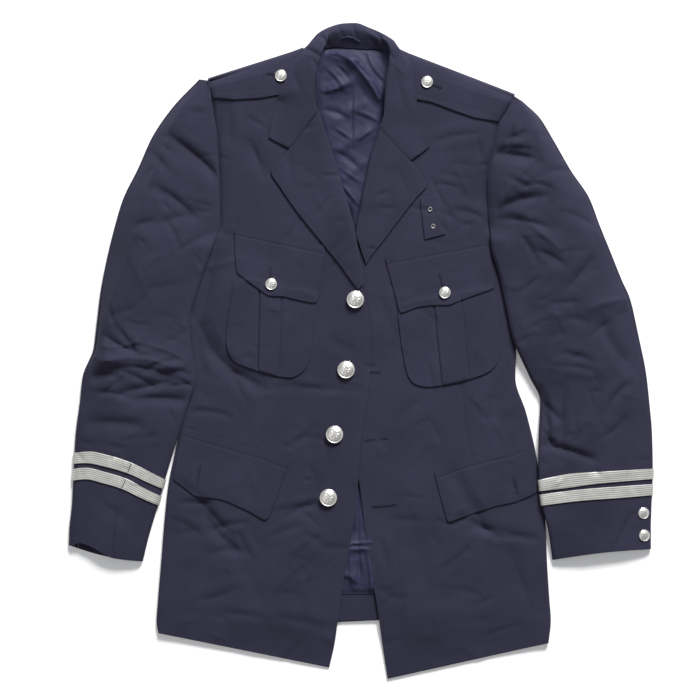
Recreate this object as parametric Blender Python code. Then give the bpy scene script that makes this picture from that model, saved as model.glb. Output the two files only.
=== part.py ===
"""Fire service dress jacket, buttoned loosely and laid flat on its back.

Lengths are millimetres in the tables and become metres when a piece is made. X runs to the picture's
right, which is the wearer's left, Y runs from hem to collar and Z runs up from the surface it lies on.
"""

import math

import bmesh
import bpy
import numpy as np
from mathutils import Vector
from mathutils.bvhtree import BVHTree

MM = 0.001
SEAM_GAP = 0.3
REST_GAP = 0.55

# Cloth walls
BODY_WALL = 2.0
LAPEL_WALL = 1.7
COLLAR_WALL = 1.8
SLEEVE_WALL = 1.8
PATCH_WALL = 1.5
LINING_WALL = 1.0
LACE_WALL = 1.1

# Heights of the flat garment
EDGE_RADIUS = 3.2
EDGE_TUCK = 12.0
SEAM_TURN = 4.5
BODY_HEIGHT = 8.6
CHEST_RISE = 1.8
SHOULDER_RISE = 5.0
ROLL_RISE = 3.0
OVERLAP_RISE = 2.9
CROSSING_RISE = 2.6

# The under sleeve stays this far inside the inner edge, and rises with it over this width
UNDER_INSET = 1.3
UNDER_RISE = (48, 32)
# The fold over the shoulder starts this far in, this much lower, and ends this far below the top
SHOULDER_START = 7.0
SHOULDER_DROP = 0.4
SHOULDER_END = 0.7
SLEEVE_STEPS = 21

UNDER_WALL = 1.6
CORD_RADIUS = 0.9
PLEAT_RAISE = 1.2

# Trim
LARGE_BUTTON = 22.9
SMALL_BUTTON = 15.2
EYELET_OUTER = 6.5
EYELET_HOLE = 3.4

# Right front, on top: y, side x, inner x (roll line or front edge), how far the side is a closed fold
FRONT_RIGHT_ROWS = (
    # row, side_x, side_y, edge_x, edge_y, closed
    (0, -196, 351, -74, 392, 0),
    (1, -193, 330, -68, 352, 0),
    (2, -189, 300, -62, 315, 0),
    (3, -186, 270, -45.5, 265, 0),
    (4, -184, 235, -34.5, 233, 0),
    (5, -183, 200, -25, 203, 0),
    (6, -183, 166, -15, 165, 0),
    (7, -206, 128, -7.5, 126, 1),
    (8, -219, 90, -1.5, 92, 1),
    (9, -227, 55, 6, 62, 1),
    (10, -224, 10, 12, 12, 1),
    (11, -222, -35, 10, -37, 1),
    (12, -232, -80, 4, -80, 1),
    (13, -242, -130, -2, -130, 1),
    (14, -251, -175, -5, -176, 1),
    (15, -256, -222, -10, -220, 1),
    (16, -260, -272, -18, -270, 1),
    (17, -264, -320, -27, -322, 1),
    (18, -266, -350, -35, -380, 1),
    (19, -264, -366, -42, -411, 1),
)
# Left front, under it: its armhole seam is the photo's border with the sleeve
FRONT_LEFT_ROWS = (
    # row, side_x, side_y, edge_x, edge_y, closed
    (0, 196, 331, 52, 388, 0),
    (1, 186, 312, 46, 350, 0),
    (2, 176, 294, 38, 322, 0),
    (3, 170, 262, 18.5, 262, 0),
    (4, 162, 230, 10.5, 225, 0),
    (5, 161, 208, 5, 200, 0),
    (6, 164, 170, -1.5, 165, 0),
    (7, 176, 132, -12, 126, 1),
    (8, 188, 92, -22, 92, 1),
    (9, 197, 50, -25, 60, 1),
    (10, 201, 5, -24, 12, 1),
    (11, 200, -35, -25, -37, 1),
    (12, 214, -80, -24, -80, 1),
    (13, 226, -130, -14, -130, 1),
    (14, 234, -178, -2, -176, 1),
    (15, 239, -222, 3, -220, 1),
    (16, 241, -272, 8, -270, 1),
    (17, 244, -320, 19, -322, 1),
    (18, 246, -350, 27, -380, 1),
    (19, 243, -379, 34, -425.6, 1),
)
# Lapels: roll line, then outer edge, from the gorge seam down to the first button
LAPEL_RIGHT_ROWS = (
    # row, roll_x, roll_y, outer_x, outer_y
    (0, -55, 311, -93, 263),
    (1, -48, 288, -104, 249),
    (2, -39, 262, -117, 233),
    (3, -30, 232, -104, 211),
    (4, -21, 203, -84, 182),
    (5, -10, 163, -56, 147),
    (6, -3, 126, -27, 111),
    (7, 1, 105, -12, 90),
    (8, 3, 88, -4, 80),
)
LAPEL_LEFT_ROWS = (
    # row, roll_x, roll_y, outer_x, outer_y
    (0, 23, 290, 64, 247),
    (1, 19, 276, 74, 233),
    (2, 14, 262, 85, 217),
    (3, 9, 242, 70, 198),
    (4, 5, 223, 55, 179),
    (5, 1, 204, 40, 159),
    (6, -3, 182, 24, 138),
    (7, -6, 168, 13, 124),
    (8, -8, 154, 6, 113),
)
# Collar: seam, roll, shoulder of the leaf and leaf edge, from the right notch round to the left notch
COLLAR_STATIONS = (
    # row, seam xyz, roll xyz, leaf xyz, edge xyz
    (0, -93.4, 263.3, 14, -96, 265, 14.2, -106, 269.6, 14, -120, 277, 13),
    (1, -74.4, 287.3, 14.5, -80, 289, 15, -96, 293, 14.6, -117, 298, 12.6),
    (2, -55.4, 311.3, 15, -60, 313, 16.5, -85, 317, 15.6, -111, 319, 12.4),
    (3, -65, 338, 12.5, -57, 340, 19, -82, 340, 19.0, -106, 334, 17.4),
    (4, -64, 362, 12.5, -57, 364, 21, -78, 361, 20.0, -99, 350, 17.4),
    (5, -57, 382, 11, -51, 387, 22, -71, 381, 20.5, -91, 371, 15),
    (6, -49, 391, 9, -46, 399, 21, -63, 397, 19, -79, 388, 10),
    (7, -42, 395, 6, -43, 409, 18, -58, 410, 13, -64, 401, 2),
    (8, -34, 395, 5, -37, 414, 16, -42, 420.5, 9, -42, 404, 0.9),
    (9, -20, 393.5, 4.6, -21, 416, 15, -23, 425.5, 8.5, -22, 404, 0.9),
    (10, -8, 393, 4.6, -8, 416, 14.5, -8, 426, 8.5, -8, 404, 0.9),
    (11, 6, 391.5, 4.6, 7, 413, 15, 10, 420, 8.8, 8, 402, 0.9),
    (12, 18, 392.5, 5, 22, 407, 17, 32, 409.5, 11, 24, 399, 0.9),
    (13, 27, 392, 7, 31, 402, 20, 43, 401, 15, 42, 390, 6),
    (14, 36, 384, 10, 37, 390, 22, 48, 389, 20, 58, 383, 11.5),
    (15, 41, 370, 12, 36, 375, 22, 49, 373, 20.5, 65, 368, 15),
    (16, 38, 350, 12.5, 32, 352, 21, 47, 350, 19.5, 69, 345, 15),
    (17, 35, 322, 12.5, 30, 326, 19, 46, 322, 17.5, 72, 320, 14.4),
    (18, 23.3, 290.4, 15, 29, 293, 16, 48, 294, 15.2, 77, 294, 12.6),
    (19, 43.8, 268.9, 14.5, 49, 272, 14.8, 63, 276, 14.2, 84, 277, 13),
    (20, 64.3, 247.4, 14, 67, 250, 14, 76, 256, 13.8, 88, 265, 13),
)
# Sleeves: outer and inner ends of each section, crown height and where the crown lies across it
SLEEVE_RIGHT_ROWS = (
    # row, out_x, out_y, in_x, in_y, crown, crown_at, closed
    (0, -211, 353, -197.0, 350.5, 11.5, 0.5, 0),
    (1, -246, 316, -192.5, 312, 22, 0.3, 0),
    (2, -272, 278, -187, 275, 25, 0.27, 0),
    (3, -290, 238, -185, 235, 27, 0.25, 0),
    (4, -310, 197, -183.7, 200, 28, 0.25, 0),
    (5, -321, 160, -183.7, 165, 28, 0.25, 0),
    (6, -331, 119, -198, 121, 27, 0.24, 1),
    (7, -339, 77, -213, 77, 26, 0.22, 1),
    (8, -344, 36, -223, 36, 24, 0.2, 1),
    (9, -348, 4, -220, 4, 24, 0.22, 1),
    (10, -362, -32, -215, -36, 23, 0.35, 1),
    (11, -366, -67, -224, -67, 20, 0.4, 1),
    (12, -371, -105, -237, -109, 18, 0.45, 1),
    (13, -374, -154, -253, -160, 16, 0.45, 1),
    (14, -376, -197, -265, -203, 15, 0.45, 1),
    (15, -379.5, -232, -276, -240, 14, 0.45, 1),
    (16, -380, -252, -284, -273, 13, 0.45, 1),
)
SLEEVE_LEFT_ROWS = (
    # row, out_x, out_y, in_x, in_y, crown, crown_at, closed
    (0, 212, 322, 197.5, 331, 11.5, 0.5, 0),
    (1, 231, 304, 187, 311, 20, 0.35, 0),
    (2, 249, 275, 177.0, 294, 24, 0.35, 0),
    (3, 272, 235, 170.8, 262, 26, 0.35, 0),
    (4, 296, 199, 162.5, 218, 28, 0.35, 0),
    (5, 309, 165, 164.8, 170, 28, 0.35, 0),
    (6, 324, 128, 168, 134, 27, 0.4, 1),
    (7, 338, 93, 178, 100, 26, 0.4, 1),
    (8, 349, 68, 187, 58, 25, 0.4, 1),
    (9, 360, 20, 197, 14, 24, 0.4, 1),
    (10, 370, -30, 217, -31, 23, 0.4, 1),
    (11, 374, -66, 232, -66, 22, 0.45, 1),
    (12, 377.5, -107, 230, -107, 20, 0.5, 1),
    (13, 378.5, -150, 229, -150, 18, 0.5, 1),
    (14, 377, -195, 233, -195, 16, 0.5, 1),
    (15, 376, -230, 242, -232, 14, 0.5, 1),
    (16, 376, -257, 248, -271, 13, 0.5, 1),
)
CUFF_SAG_RIGHT = -4.0
CUFF_SAG_LEFT = 2.5
# How far each sleeve's inner edge is raised to lie on the body's side: row, height
LIFTS_RIGHT = ((0, 8.5), (11, 8.5), (12, 7), (13, 2), (14, 0), (16, 0))
LIFTS_LEFT = ((0, 8.5), (9, 8.5), (10, 3), (11, 1), (12, 4), (13, 8.5), (14.5, 8.5), (15.4, 3), (16, 0))

# Patches: four sides each, top, right, bottom and left, every side from left to right or top to bottom
PATCHES = {
    "breast_pocket_right": (
        ((-164, 97), (-59, 74)),
        ((-59, 74), (-61, 44), (-67, -9), (-72, -24)),
        ((-166, -14), (-139, -24), (-112, -32), (-88, -35), (-72, -24)),
        ((-164, 97), (-172, 47), (-176, 14), (-174, 0), (-166, -14)),
    ),
    "breast_pocket_left": (
        ((46, 60), (172, 82)),
        ((172, 82), (178, 51), (181, 14), (179, -10), (171, -24)),
        ((68, -43), (86, -47), (128, -40), (156, -31), (171, -24)),
        ((46, 60), (51, 16), (57, -21), (61, -35), (68, -43)),
    ),
    "breast_flap_right": (
        ((-165, 162), (-49, 137)),
        ((-49, 137), (-47, 129), (-57, 66), (-60, 62)),
        ((-162, 102), (-147, 91), (-132, 80), (-121, 72), (-100, 71), (-80, 66), (-60, 62)),
        ((-165, 162), (-164, 130), (-162, 102)),
    ),
    "breast_flap_left": (
        ((30, 123), (160, 148)),
        ((160, 148), (165, 133), (174, 86), (171, 81)),
        ((50, 49), (74, 58), (92, 60), (114, 60), (130, 67), (150, 74), (171, 81)),
        ((30, 123), (40, 87), (50, 49)),
    ),
    "lower_flap_right": (
        ((-232, -99), (-133, -128), (-94, -143)),
        ((-94, -143), (-107, -180), (-120, -216), (-125, -220)),
        ((-245, -166), (-229, -178), (-217, -188), (-187, -191), (-176, -194), (-147, -207), (-125, -220)),
        ((-232, -99), (-238, -130), (-245, -166)),
    ),
    "lower_flap_left": (
        ((94, -155), (142, -138), (192, -126), (212, -118)),
        ((212, -118), (222, -150), (229, -180), (225, -185)),
        ((112, -222), (145, -210), (173, -201), (201, -195), (225, -185)),
        ((94, -155), (103, -190), (112, -222)),
    ),
}
LACE = {
    "right": {
        "upper": (
            ((-380, -133), (-352, -130), (-326, -135), (-297, -145), (-277, -155), (-250, -169)),
            ((-380, -147), (-357, -145), (-334, -149), (-303, -158), (-277, -170), (-250, -182)),
        ),
        "lower": (
            ((-380, -154), (-357, -151), (-334, -156), (-305, -165), (-281, -178), (-250, -193)),
            ((-380, -169), (-357, -166), (-334, -171), (-311, -178), (-288, -189), (-250, -206)),
        ),
    },
    "left": {
        "upper": (
            ((225, -168), (275, -158), (310, -156), (385, -152)),
            ((225, -182), (265, -177), (310, -171), (385, -165)),
        ),
        "lower": (
            ((225, -187), (284, -179), (336, -175), (385, -172)),
            ((225, -201), (291, -193), (336, -190), (385, -186)),
        ),
    },
}
TAB_CORNERS = ((76, 198), (102, 203), (109, 152), (82, 145))
EYELET_PLACES = ((89, 184), (93, 162))
LARGE_BUTTONS = ((-8, 67), (-20, -24), (-35, -108), (-43, -190))
POCKET_BUTTONS = {"right": (-117, 87), "left": (108, 76)}
STRAP_BUTTONS = {"right": (-104.5, 357), "left": (85, 349)}
CUFF_BUTTONS = ((366, -210), (367, -239))
# Box pleats: left and right line at the pocket's top, then at its foot
PLEAT_RIGHT = ((-132, -103), (-135, -108))
PLEAT_LEFT = ((93, 129), (104, 140))

MATERIALS = {
    # name: red, green, blue, roughness, metallic
    "navy_wool": (0.040, 0.040, 0.072, 0.9, 0.0),
    "navy_satin": (0.060, 0.058, 0.130, 0.5, 0.0),
    "silver_lace": (0.55, 0.55, 0.52, 0.5, 0.3),
    "silver_metal": (0.75, 0.74, 0.72, 0.3, 1.0),
}


def material(name):
    found = bpy.data.materials.get(name)
    if found:
        return found
    red, green, blue, rough, metal = MATERIALS[name]
    made = bpy.data.materials.new(name)
    made.use_nodes = True
    shader = made.node_tree.nodes["Principled BSDF"]
    shader.inputs["Base Color"].default_value = (red, green, blue, 1)
    shader.inputs["Roughness"].default_value = rough
    shader.inputs["Metallic"].default_value = metal
    return made


def smooth(value):
    """0 to 1 with flat ends."""
    t = np.clip(value, 0.0, 1.0)
    return t * t * (3 - 2 * t)


def curve(keys, values, at):
    """A monotone cubic through the values, so a rail never overshoots its rows."""
    keys = np.asarray(keys, float)
    values = np.asarray(values, float)
    at = np.clip(np.asarray(at, float), keys[0], keys[-1])
    step = np.diff(keys)
    slope = np.diff(values) / step
    tangent = np.zeros(len(keys))
    tangent[0], tangent[-1] = slope[0], slope[-1]
    for i in range(1, len(keys) - 1):
        if slope[i - 1] * slope[i] > 0:
            a = 2 * step[i] + step[i - 1]
            b = step[i] + 2 * step[i - 1]
            tangent[i] = (a + b) / (a / slope[i - 1] + b / slope[i])
    k = np.clip(np.searchsorted(keys, at, side="right") - 1, 0, len(step) - 1)
    t = (at - keys[k]) / step[k]
    h = step[k]
    return (
        (2 * t**3 - 3 * t**2 + 1) * values[k]
        + (t**3 - 2 * t**2 + t) * h * tangent[k]
        + (3 * t**2 - 2 * t**3) * values[k + 1]
        + (t**3 - t**2) * h * tangent[k + 1]
    )


def columns(table, at):
    """Every column of a table after its row number, read at fractional rows."""
    rows = np.asarray(table, float)
    return [curve(rows[:, 0], rows[:, c], at) for c in range(1, rows.shape[1])]


def line_distance(x, y, points):
    """Distance from a place to a bent line, in the plane."""
    best = np.full(np.shape(x), 1e9)
    for (ax, ay), (bx, by) in zip(points, points[1:]):
        dx, dy = bx - ax, by - ay
        t = np.clip(((x - ax) * dx + (y - ay) * dy) / (dx * dx + dy * dy), 0, 1)
        best = np.minimum(best, np.hypot(x - ax - t * dx, y - ay - t * dy))
    return best


ROLL_RIGHT = [(row[1], row[2]) for row in LAPEL_RIGHT_ROWS[:7]]
ROLL_LEFT = [(row[1], row[2]) for row in LAPEL_LEFT_ROWS[:6]]
CROSSING = [(-12, 165), (-3, 126), (2, 90)]
CENTRE_FRONT = [(2, 90), (8, 20), (2, -60), (-4, -130), (-6, -180)]
# Soft troughs and ridges: start, end, half width and depth, below zero for a trough
BODY_FOLDS = (
    # x0, y0, x1, y1, width, height
    (-225, 55, -195, 5, 15, -2.2),
    (-195, 5, -135, -45, 14, -1.8),
    (-205, -210, -165, -255, 14, -1.6),
    (-120, -240, -75, -225, 12, 1.2),
    (-150, -345, -60, -355, 16, 1.2),
    (-215, -320, -160, -305, 16, 1.3),
    (120, -160, 160, -230, 13, -1.6),
    (130, -230, 225, -242, 14, 1.3),
    (100, -285, 150, -245, 14, 1.2),
    (190, -15, 172, -80, 12, -1.5),
    (58, -275, 62, -365, 16, 1.2),
    (-150, 275, -124, 233, 14, -1.2),
    (-178, 320, -175, 280, 9, -1.4),
    (124, 190, 158, 178, 12, 1.2),
    (96, 272, 150, 282, 12, 1.2),
)
SLEEVE_FOLDS = (
    # x0, y0, x1, y1, width, height
    (-248, 278, -187, 228, 12, -3.0),
    (-266, 212, -219, 178, 11, -1.8),
    (-290, 163, -224, 176, 12, -2.0),
    (-330, 18, -292, 0, 10, -3.5),
    (-336, -14, -241, -22, 9, 3.2),
    (-345, -33, -320, -28, 7, -2.6),
    (-309, -53, -254, -40, 8, -2.6),
    (-348, -94, -292, -96, 10, -1.8),
    (-292, -62, -229, -64, 9, -2.0),
    (172, 257, 223, 249, 14, -3.2),
    (180, 187, 238, 204, 10, -2.6),
    (225, 248, 180, 187, 10, 2.4),
    (182, 172, 241, 160, 10, -2.0),
    (214, 168, 255, 132, 10, 1.8),
    (273, 87, 296, 117, 10, -2.2),
    (231, 66, 245, 100, 10, 1.8),
    (297, 56, 349, 66, 10, 2.2),
    (215, 28, 249, 42, 9, 2.0),
    (253, -19, 305, -28, 9, 2.0),
    (313, 34, 339, -10, 10, -2.2),
    (348, -41, 345, -70, 10, 2.0),
    (293, -95, 275, -132, 11, 1.8),
    (237, -66, 253, -85, 8, -2.0),
    (236, -121, 298, -139, 8, -2.4),
)


def fold_height(x, y, folds):
    total = np.zeros(np.shape(x))
    for x0, y0, x1, y1, width, height in folds:
        away = line_distance(x, y, [(x0, y0), (x1, y1)])
        total = total + height * np.exp(-((away / width) ** 2))
    return total


def base_height(x, y):
    """Top of the body cloth inside its edges."""
    chest = CHEST_RISE * smooth((y + 60) / 160)
    side = np.where(x < 0, np.abs(x + 190), np.abs(x - 175))
    pad = SHOULDER_RISE * np.exp(-((side / 70) ** 2)) * smooth((y - 180) / 110)
    hem = -smooth((-y - 330) / 75) * (BODY_HEIGHT - BODY_WALL - 1.2)
    return BODY_HEIGHT + chest + pad + hem + fold_height(x, y, BODY_FOLDS)


def bump(x, y, line, width):
    return np.exp(-((line_distance(x, y, line) / width) ** 2))


def left_height(x, y):
    roll = ROLL_RISE * bump(x, y, ROLL_LEFT, 26) * smooth((y - 165) / 30)
    return base_height(x, y) + roll - 0.4


def right_height(x, y):
    roll = ROLL_RISE * bump(x, y, ROLL_RIGHT, 26)
    over = OVERLAP_RISE * bump(x, y, CENTRE_FRONT + CROSSING, 48)
    cross = CROSSING_RISE * bump(x, y, CROSSING, 34)
    gap = -1.0 * smooth((-y - 215) / 60) * bump(x, y, [(-20, -270), (-40, -410)], 40)
    return base_height(x, y) + roll + over + cross + gap


def mesh_object(name, bm, look, smooth_angle=50):
    mesh = bpy.data.meshes.new(name)
    bm.to_mesh(mesh)
    bm.free()
    mesh.shade_smooth()
    mesh.set_sharp_from_angle(angle=math.radians(smooth_angle))
    made = bpy.data.objects.new(name, mesh)
    mesh.materials.append(material(look))
    bpy.context.scene.collection.objects.link(made)
    return made


def facing(top):
    """Unit normals of a grid of points, turned so that most of them look up."""
    normal = np.cross(np.gradient(top, axis=1), np.gradient(top, axis=0))
    normal /= np.linalg.norm(normal, axis=2, keepdims=True) + 1e-9
    turned = 1 if normal[:, :, 2].sum() > 0 else -1
    return normal * turned, turned


def wall(name, top, inner, look):
    """A closed wall between two grids of points in millimetres, the first one facing out."""
    rows, cols = top.shape[:2]
    bm = bmesh.new()
    bmesh.ops.create_grid(bm, x_segments=cols - 1, y_segments=rows - 1, size=1)
    upper = list(bm.verts)
    for vert, place in zip(upper, top.reshape(-1, 3)):
        vert.co = Vector(place) * MM
    bm.verts.index_update()
    sides = [edge for edge in bm.edges if edge.is_boundary]
    lower = [bm.verts.new(Vector(place) * MM) for place in inner.reshape(-1, 3)]
    rims = []
    for edge in sides:
        loop = edge.link_loops[0]
        rims.append((loop.vert.index, loop.link_loop_next.vert.index))
    for face in list(bm.faces):
        bm.faces.new([lower[vert.index] for vert in reversed(face.verts)])
    for first, second in rims:
        bm.faces.new([upper[second], upper[first], lower[first], lower[second]])
    if facing(top)[1] < 0:
        bmesh.ops.reverse_faces(bm, faces=bm.faces[:])
    return mesh_object(name, bm, look)


def rolled_wall(name, top, thick, look):
    """Wall of a rolled panel, its inside moved in along its own normals."""
    inner = top - facing(top)[0] * thick
    inner[:, :, 2] = np.maximum(inner[:, :, 2], 0)
    return wall(name, top, inner, look)


def drop_wall(name, top, thick, look):
    """Wall of a nearly level patch: its inside lies straight below it."""
    inner = top.copy()
    inner[:, :, 2] -= thick
    return wall(name, top, inner, look)


NOSE_ANGLES = (-90, -35, 20, 90)


def front_grid(table, height, rows, cols):
    """Rows run down the front. Columns run from under the side fold, round it and across to the edge."""
    at = np.linspace(0, table[-1][0], rows)
    side_x, side_y, edge_x, edge_y, closed = columns(table, at)
    grid = np.zeros((rows, cols + len(NOSE_ANGLES) + 1, 3))
    for i in range(rows):
        start = np.array([side_x[i], side_y[i]])
        end = np.array([edge_x[i], edge_y[i]])
        across = end - start
        width = np.hypot(*across)
        across /= width
        shut = smooth((closed[i] - 0.1) / 0.8)
        nose = [(EDGE_TUCK, 0.0)]
        for angle in NOSE_ANGLES:
            turn = math.radians(angle)
            nose.append((EDGE_RADIUS * (1 - math.cos(turn)), EDGE_RADIUS * (1 + math.sin(turn))))
        places = []
        for k, (along, up) in enumerate(nose):
            open_along = 1.2 * k
            x, y = start + across * open_along
            open_up = float(height(x, y))
            along, up = np.array((open_along, open_up)) * (1 - shut) + np.array((along, up)) * shut
            places.append((along, up))
        first = places[-1][0]
        for k in range(1, cols + 1):
            along = first + (width - first) * k / cols
            x, y = start + across * along
            full = float(height(x, y))
            rise = 1 - math.exp(-(along - EDGE_RADIUS) / 16)
            folded = 2 * EDGE_RADIUS + (full - 2 * EDGE_RADIUS) * rise
            places.append((along, full * (1 - shut) + folded * shut))
        for k, (along, up) in enumerate(places):
            x, y = start + across * along
            grid[i, k] = (x, y, up)
    return grid


# The fold over the shoulder: distance in from its edge and share of the full height
SHOULDER_FOLD = ((0.0, 0.0), (0.6, 0.45), (2.6, 0.76))


def fall_over_shoulder(grid):
    """The first rows turn down over the shoulder to the surface, where the back panel meets them."""
    first = grid[0].copy()
    down = grid[0] - grid[1]
    down[:, 2] = 0
    down /= np.linalg.norm(down, axis=1, keepdims=True) + 1e-9
    extra = []
    for back, share in SHOULDER_FOLD:
        row = first - down * back
        row[:, 2] = SEAM_GAP + (first[:, 2] - SHOULDER_END) * share
        extra.append(row)
    body = grid[1:].copy()
    start = first - down * SHOULDER_START
    start[:, 2] = first[:, 2] - SHOULDER_DROP
    return np.concatenate([np.array(extra), start[None], body])


def make_fronts():
    right = fall_over_shoulder(front_grid(FRONT_RIGHT_ROWS, right_height, 23, 9))
    left = fall_over_shoulder(front_grid(FRONT_LEFT_ROWS, left_height, 23, 9))
    made = rolled_wall("front_right", right, BODY_WALL, "navy_wool")
    other = rolled_wall("front_left", left, BODY_WALL, "navy_wool")
    return made, other


def side_points(table, sign, count=24):
    """Places down one side of the back, inside the front's folded edge."""
    side_x, side_y, _, _, closed = columns(table, np.linspace(0.8, 18, count))
    inset = 1.1 + 13.2 * smooth(closed * 2.2)
    return list(zip(side_x + sign * inset, side_y))


def along(points, count):
    """Places spaced evenly along a bent line."""
    points = np.asarray(points, float)
    length = np.r_[0, np.cumsum(np.hypot(*np.diff(points, axis=0).T))]
    at = np.linspace(0, length[-1], count)
    return np.stack([np.interp(at, length, points[:, 0]), np.interp(at, length, points[:, 1])], axis=1)


def patch(sides, rows, cols):
    """Places filling four bent sides: top and bottom run left to right, left and right run down."""
    top, right, bottom, left = (
        along(side, count) for side, count in zip(sides, (cols, rows, cols, rows))
    )
    u = np.linspace(0, 1, cols)[None, :, None]
    v = np.linspace(0, 1, rows)[:, None, None]
    ruled = (1 - v) * top[None] + v * bottom[None] + (1 - u) * left[:, None] + u * right[:, None]
    corners = (
        (1 - u) * (1 - v) * top[0]
        + u * (1 - v) * top[-1]
        + (1 - u) * v * bottom[0]
        + u * v * bottom[-1]
    )
    return ruled - corners


class Rest:
    """What a piece lies on: the highest of some finished pieces under a place."""

    def __init__(self, *pieces):
        graph = bpy.context.evaluated_depsgraph_get()
        bpy.context.view_layer.update()
        self.trees = [BVHTree.FromObject(piece, graph) for piece in pieces]

    def top(self, x, y, missing=0.0):
        best = missing
        for tree in self.trees:
            hit = tree.ray_cast(Vector((x * MM, y * MM, 1)), Vector((0, 0, -1)))[0]
            if hit:
                best = max(best, hit.z / MM)
        return best


def lie_on(places, rest, lift, blur=2):
    """Heights for a patch that lies on finished pieces, smoothed a little and never below them."""
    heights = np.array([[rest.top(x, y) for x, y in row] for row in places])
    padded = np.pad(heights, 1, mode="edge")
    rows, cols = heights.shape
    soft = np.max([padded[i : i + rows, j : j + cols] for i in range(3) for j in range(3)], axis=0)
    for _ in range(blur):
        padded = np.pad(soft, 1, mode="edge")
        near = (padded[:-2, 1:-1] + padded[2:, 1:-1] + padded[1:-1, :-2] + padded[1:-1, 2:]) / 4
        soft = np.maximum(heights, (soft + near) / 2)
    return np.dstack([places, soft + lift])


def make_back():
    left = side_points(FRONT_RIGHT_ROWS, 1)
    right = side_points(FRONT_LEFT_ROWS, -1)
    left[-1] = (left[-1][0], -352)
    right[-1] = (right[-1][0], -352)
    left = [(-192.5, 346)] + left
    right = [(194, 328)] + right
    top = [left[0], (-72, 387), (-43, 390.5), (0, 386.5), (30, 387), (50, 383), right[0]]
    bottom = [left[-1], (-31, -352), (23, -349.5), right[-1]]
    grid = np.dstack([patch((top, right, bottom, left), 21, 5), np.full((21, 5), BODY_WALL)])
    return drop_wall("back", grid, BODY_WALL, "navy_wool")


def sleeve_grids(table, lifts, sag, body_height, at, cols=9):
    """Outer points of a sleeve's top panel and under panel. Rows run from the shoulder to the cuff."""
    rows = len(at)
    out_x, out_y, in_x, in_y, crown, crown_at, closed = columns(table, at)
    lift = curve(*zip(*lifts), at)
    top_rows, under_rows = [], []
    for i in range(rows):
        start = np.array([out_x[i], out_y[i]])
        across = np.array([in_x[i], in_y[i]]) - start
        width = np.hypot(*across)
        across /= width
        shut = float(smooth((closed[i] - 0.1) / 0.8))
        r = EDGE_RADIUS
        bow = sag * smooth((at[i] - 13) / 3)
        end_height = float(body_height(in_x[i], in_y[i])) * (1 - shut) + (lift[i] + 2 * r) * shut

        def height(a):
            base = 2 * r + (end_height - 2 * r) * smooth((a / width - 0.45) / 0.55)
            peak = crown_at[i] * width
            if a < peak:
                shape = math.sin(0.5 * math.pi * max(a, 0) / peak) ** 0.8
            else:
                shape = math.cos(0.5 * math.pi * min((a - peak) / (width - peak), 1)) ** 0.75
            x, y = start + across * a
            edge = smooth(a / 14) * smooth((width - a) / 14)
            return base + max(crown[i] - base, 0) * shape + float(fold_height(x, y, SLEEVE_FOLDS)) * edge

        def placed(a, z):
            return (*(start + across * a + (0, bow * math.sin(math.pi * a / width))), z)

        section = [(EDGE_TUCK, 0.0)]
        for angle in NOSE_ANGLES:
            turn = math.radians(angle)
            section.append((r * (1 - math.cos(turn)), r * (1 + math.sin(turn))))
        inner_top = width - r * shut - SEAM_TURN * (1 - shut)
        for k in range(1, cols + 1):
            a = r + (inner_top - r) * k / cols
            section.append((a, height(a)))
        for k, angle in enumerate((30, -30, -90)):
            turn = math.radians(angle)
            a = width - r * (1 - math.cos(turn))
            z = lift[i] + r * (1 + math.sin(turn))
            open_a = width - SEAM_TURN * (2 - k) / 3
            section.append((a * shut + open_a * (1 - shut), z * shut + height(open_a) * (1 - shut)))
        under_z = lift[i] * shut + height(width) * (1 - shut)
        section.append((width - EDGE_TUCK * shut - 0.01 * (1 - shut), under_z))
        top_rows.append([placed(a, z) for a, z in section])
        near = EDGE_TUCK + SEAM_GAP
        far = width - UNDER_INSET - EDGE_TUCK * min(1, shut * 2.5)
        under = []
        for a in np.linspace(near, far, 5):
            rise = lift[i] * shut * smooth((a - (width - UNDER_RISE[0])) / UNDER_RISE[1])
            under.append((a, rise))
        under_rows.append([placed(a, z) for a, z in under])
    return np.array(top_rows), np.array(under_rows)


SLEEVES = {
    "right": (SLEEVE_RIGHT_ROWS, LIFTS_RIGHT, CUFF_SAG_RIGHT, right_height),
    "left": (SLEEVE_LEFT_ROWS, LIFTS_LEFT, CUFF_SAG_LEFT, left_height),
}


def make_sleeves():
    made = {}
    for side, cut in SLEEVES.items():
        top, under = sleeve_grids(*cut, np.linspace(0, cut[0][-1][0], SLEEVE_STEPS))
        made[side] = rolled_wall("top_sleeve_" + side, top, SLEEVE_WALL, "navy_wool")
        under[:, :, 2] += UNDER_WALL
        drop_wall("under_sleeve_" + side, under, UNDER_WALL, "navy_wool")
    return made


def make_lace():
    """Two stripes of flat braid across each cuff, made from the sleeve's own points moved out."""
    steps = np.linspace(11.5, 15.6, 42)
    for side, stripes in LACE.items():
        top, _ = sleeve_grids(*SLEEVES[side], steps)
        top = top[:, 2:-3]
        out = facing(top)[0]
        for name, (upper, lower) in stripes.items():
            rows = []
            for share in (0, 0.5, 1):
                row = []
                for k in range(top.shape[1]):
                    x, y = top[:, k, 0], top[:, k, 1]
                    wanted = (1 - share) * curve(*zip(*upper), x) + share * curve(*zip(*lower), x)
                    place = np.interp(0, (wanted - y), np.arange(len(steps)))
                    base = [np.interp(place, np.arange(len(steps)), top[:, k, c]) for c in range(3)]
                    move = [np.interp(place, np.arange(len(steps)), out[:, k, c]) for c in range(3)]
                    row.append(base + move)
                rows.append(row)
            rows = np.array(rows)
            base, move = rows[:, :, :3], rows[:, :, 3:]
            outer = base + move * (0.4 + LACE_WALL)
            inner = base + move * 0.4
            outer[:, :, 2] = np.maximum(outer[:, :, 2], 0.4)
            inner[:, :, 2] = np.maximum(inner[:, :, 2], 0.4)
            wall("lace_" + side + "_" + name, outer, inner, "silver_lace")


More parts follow.
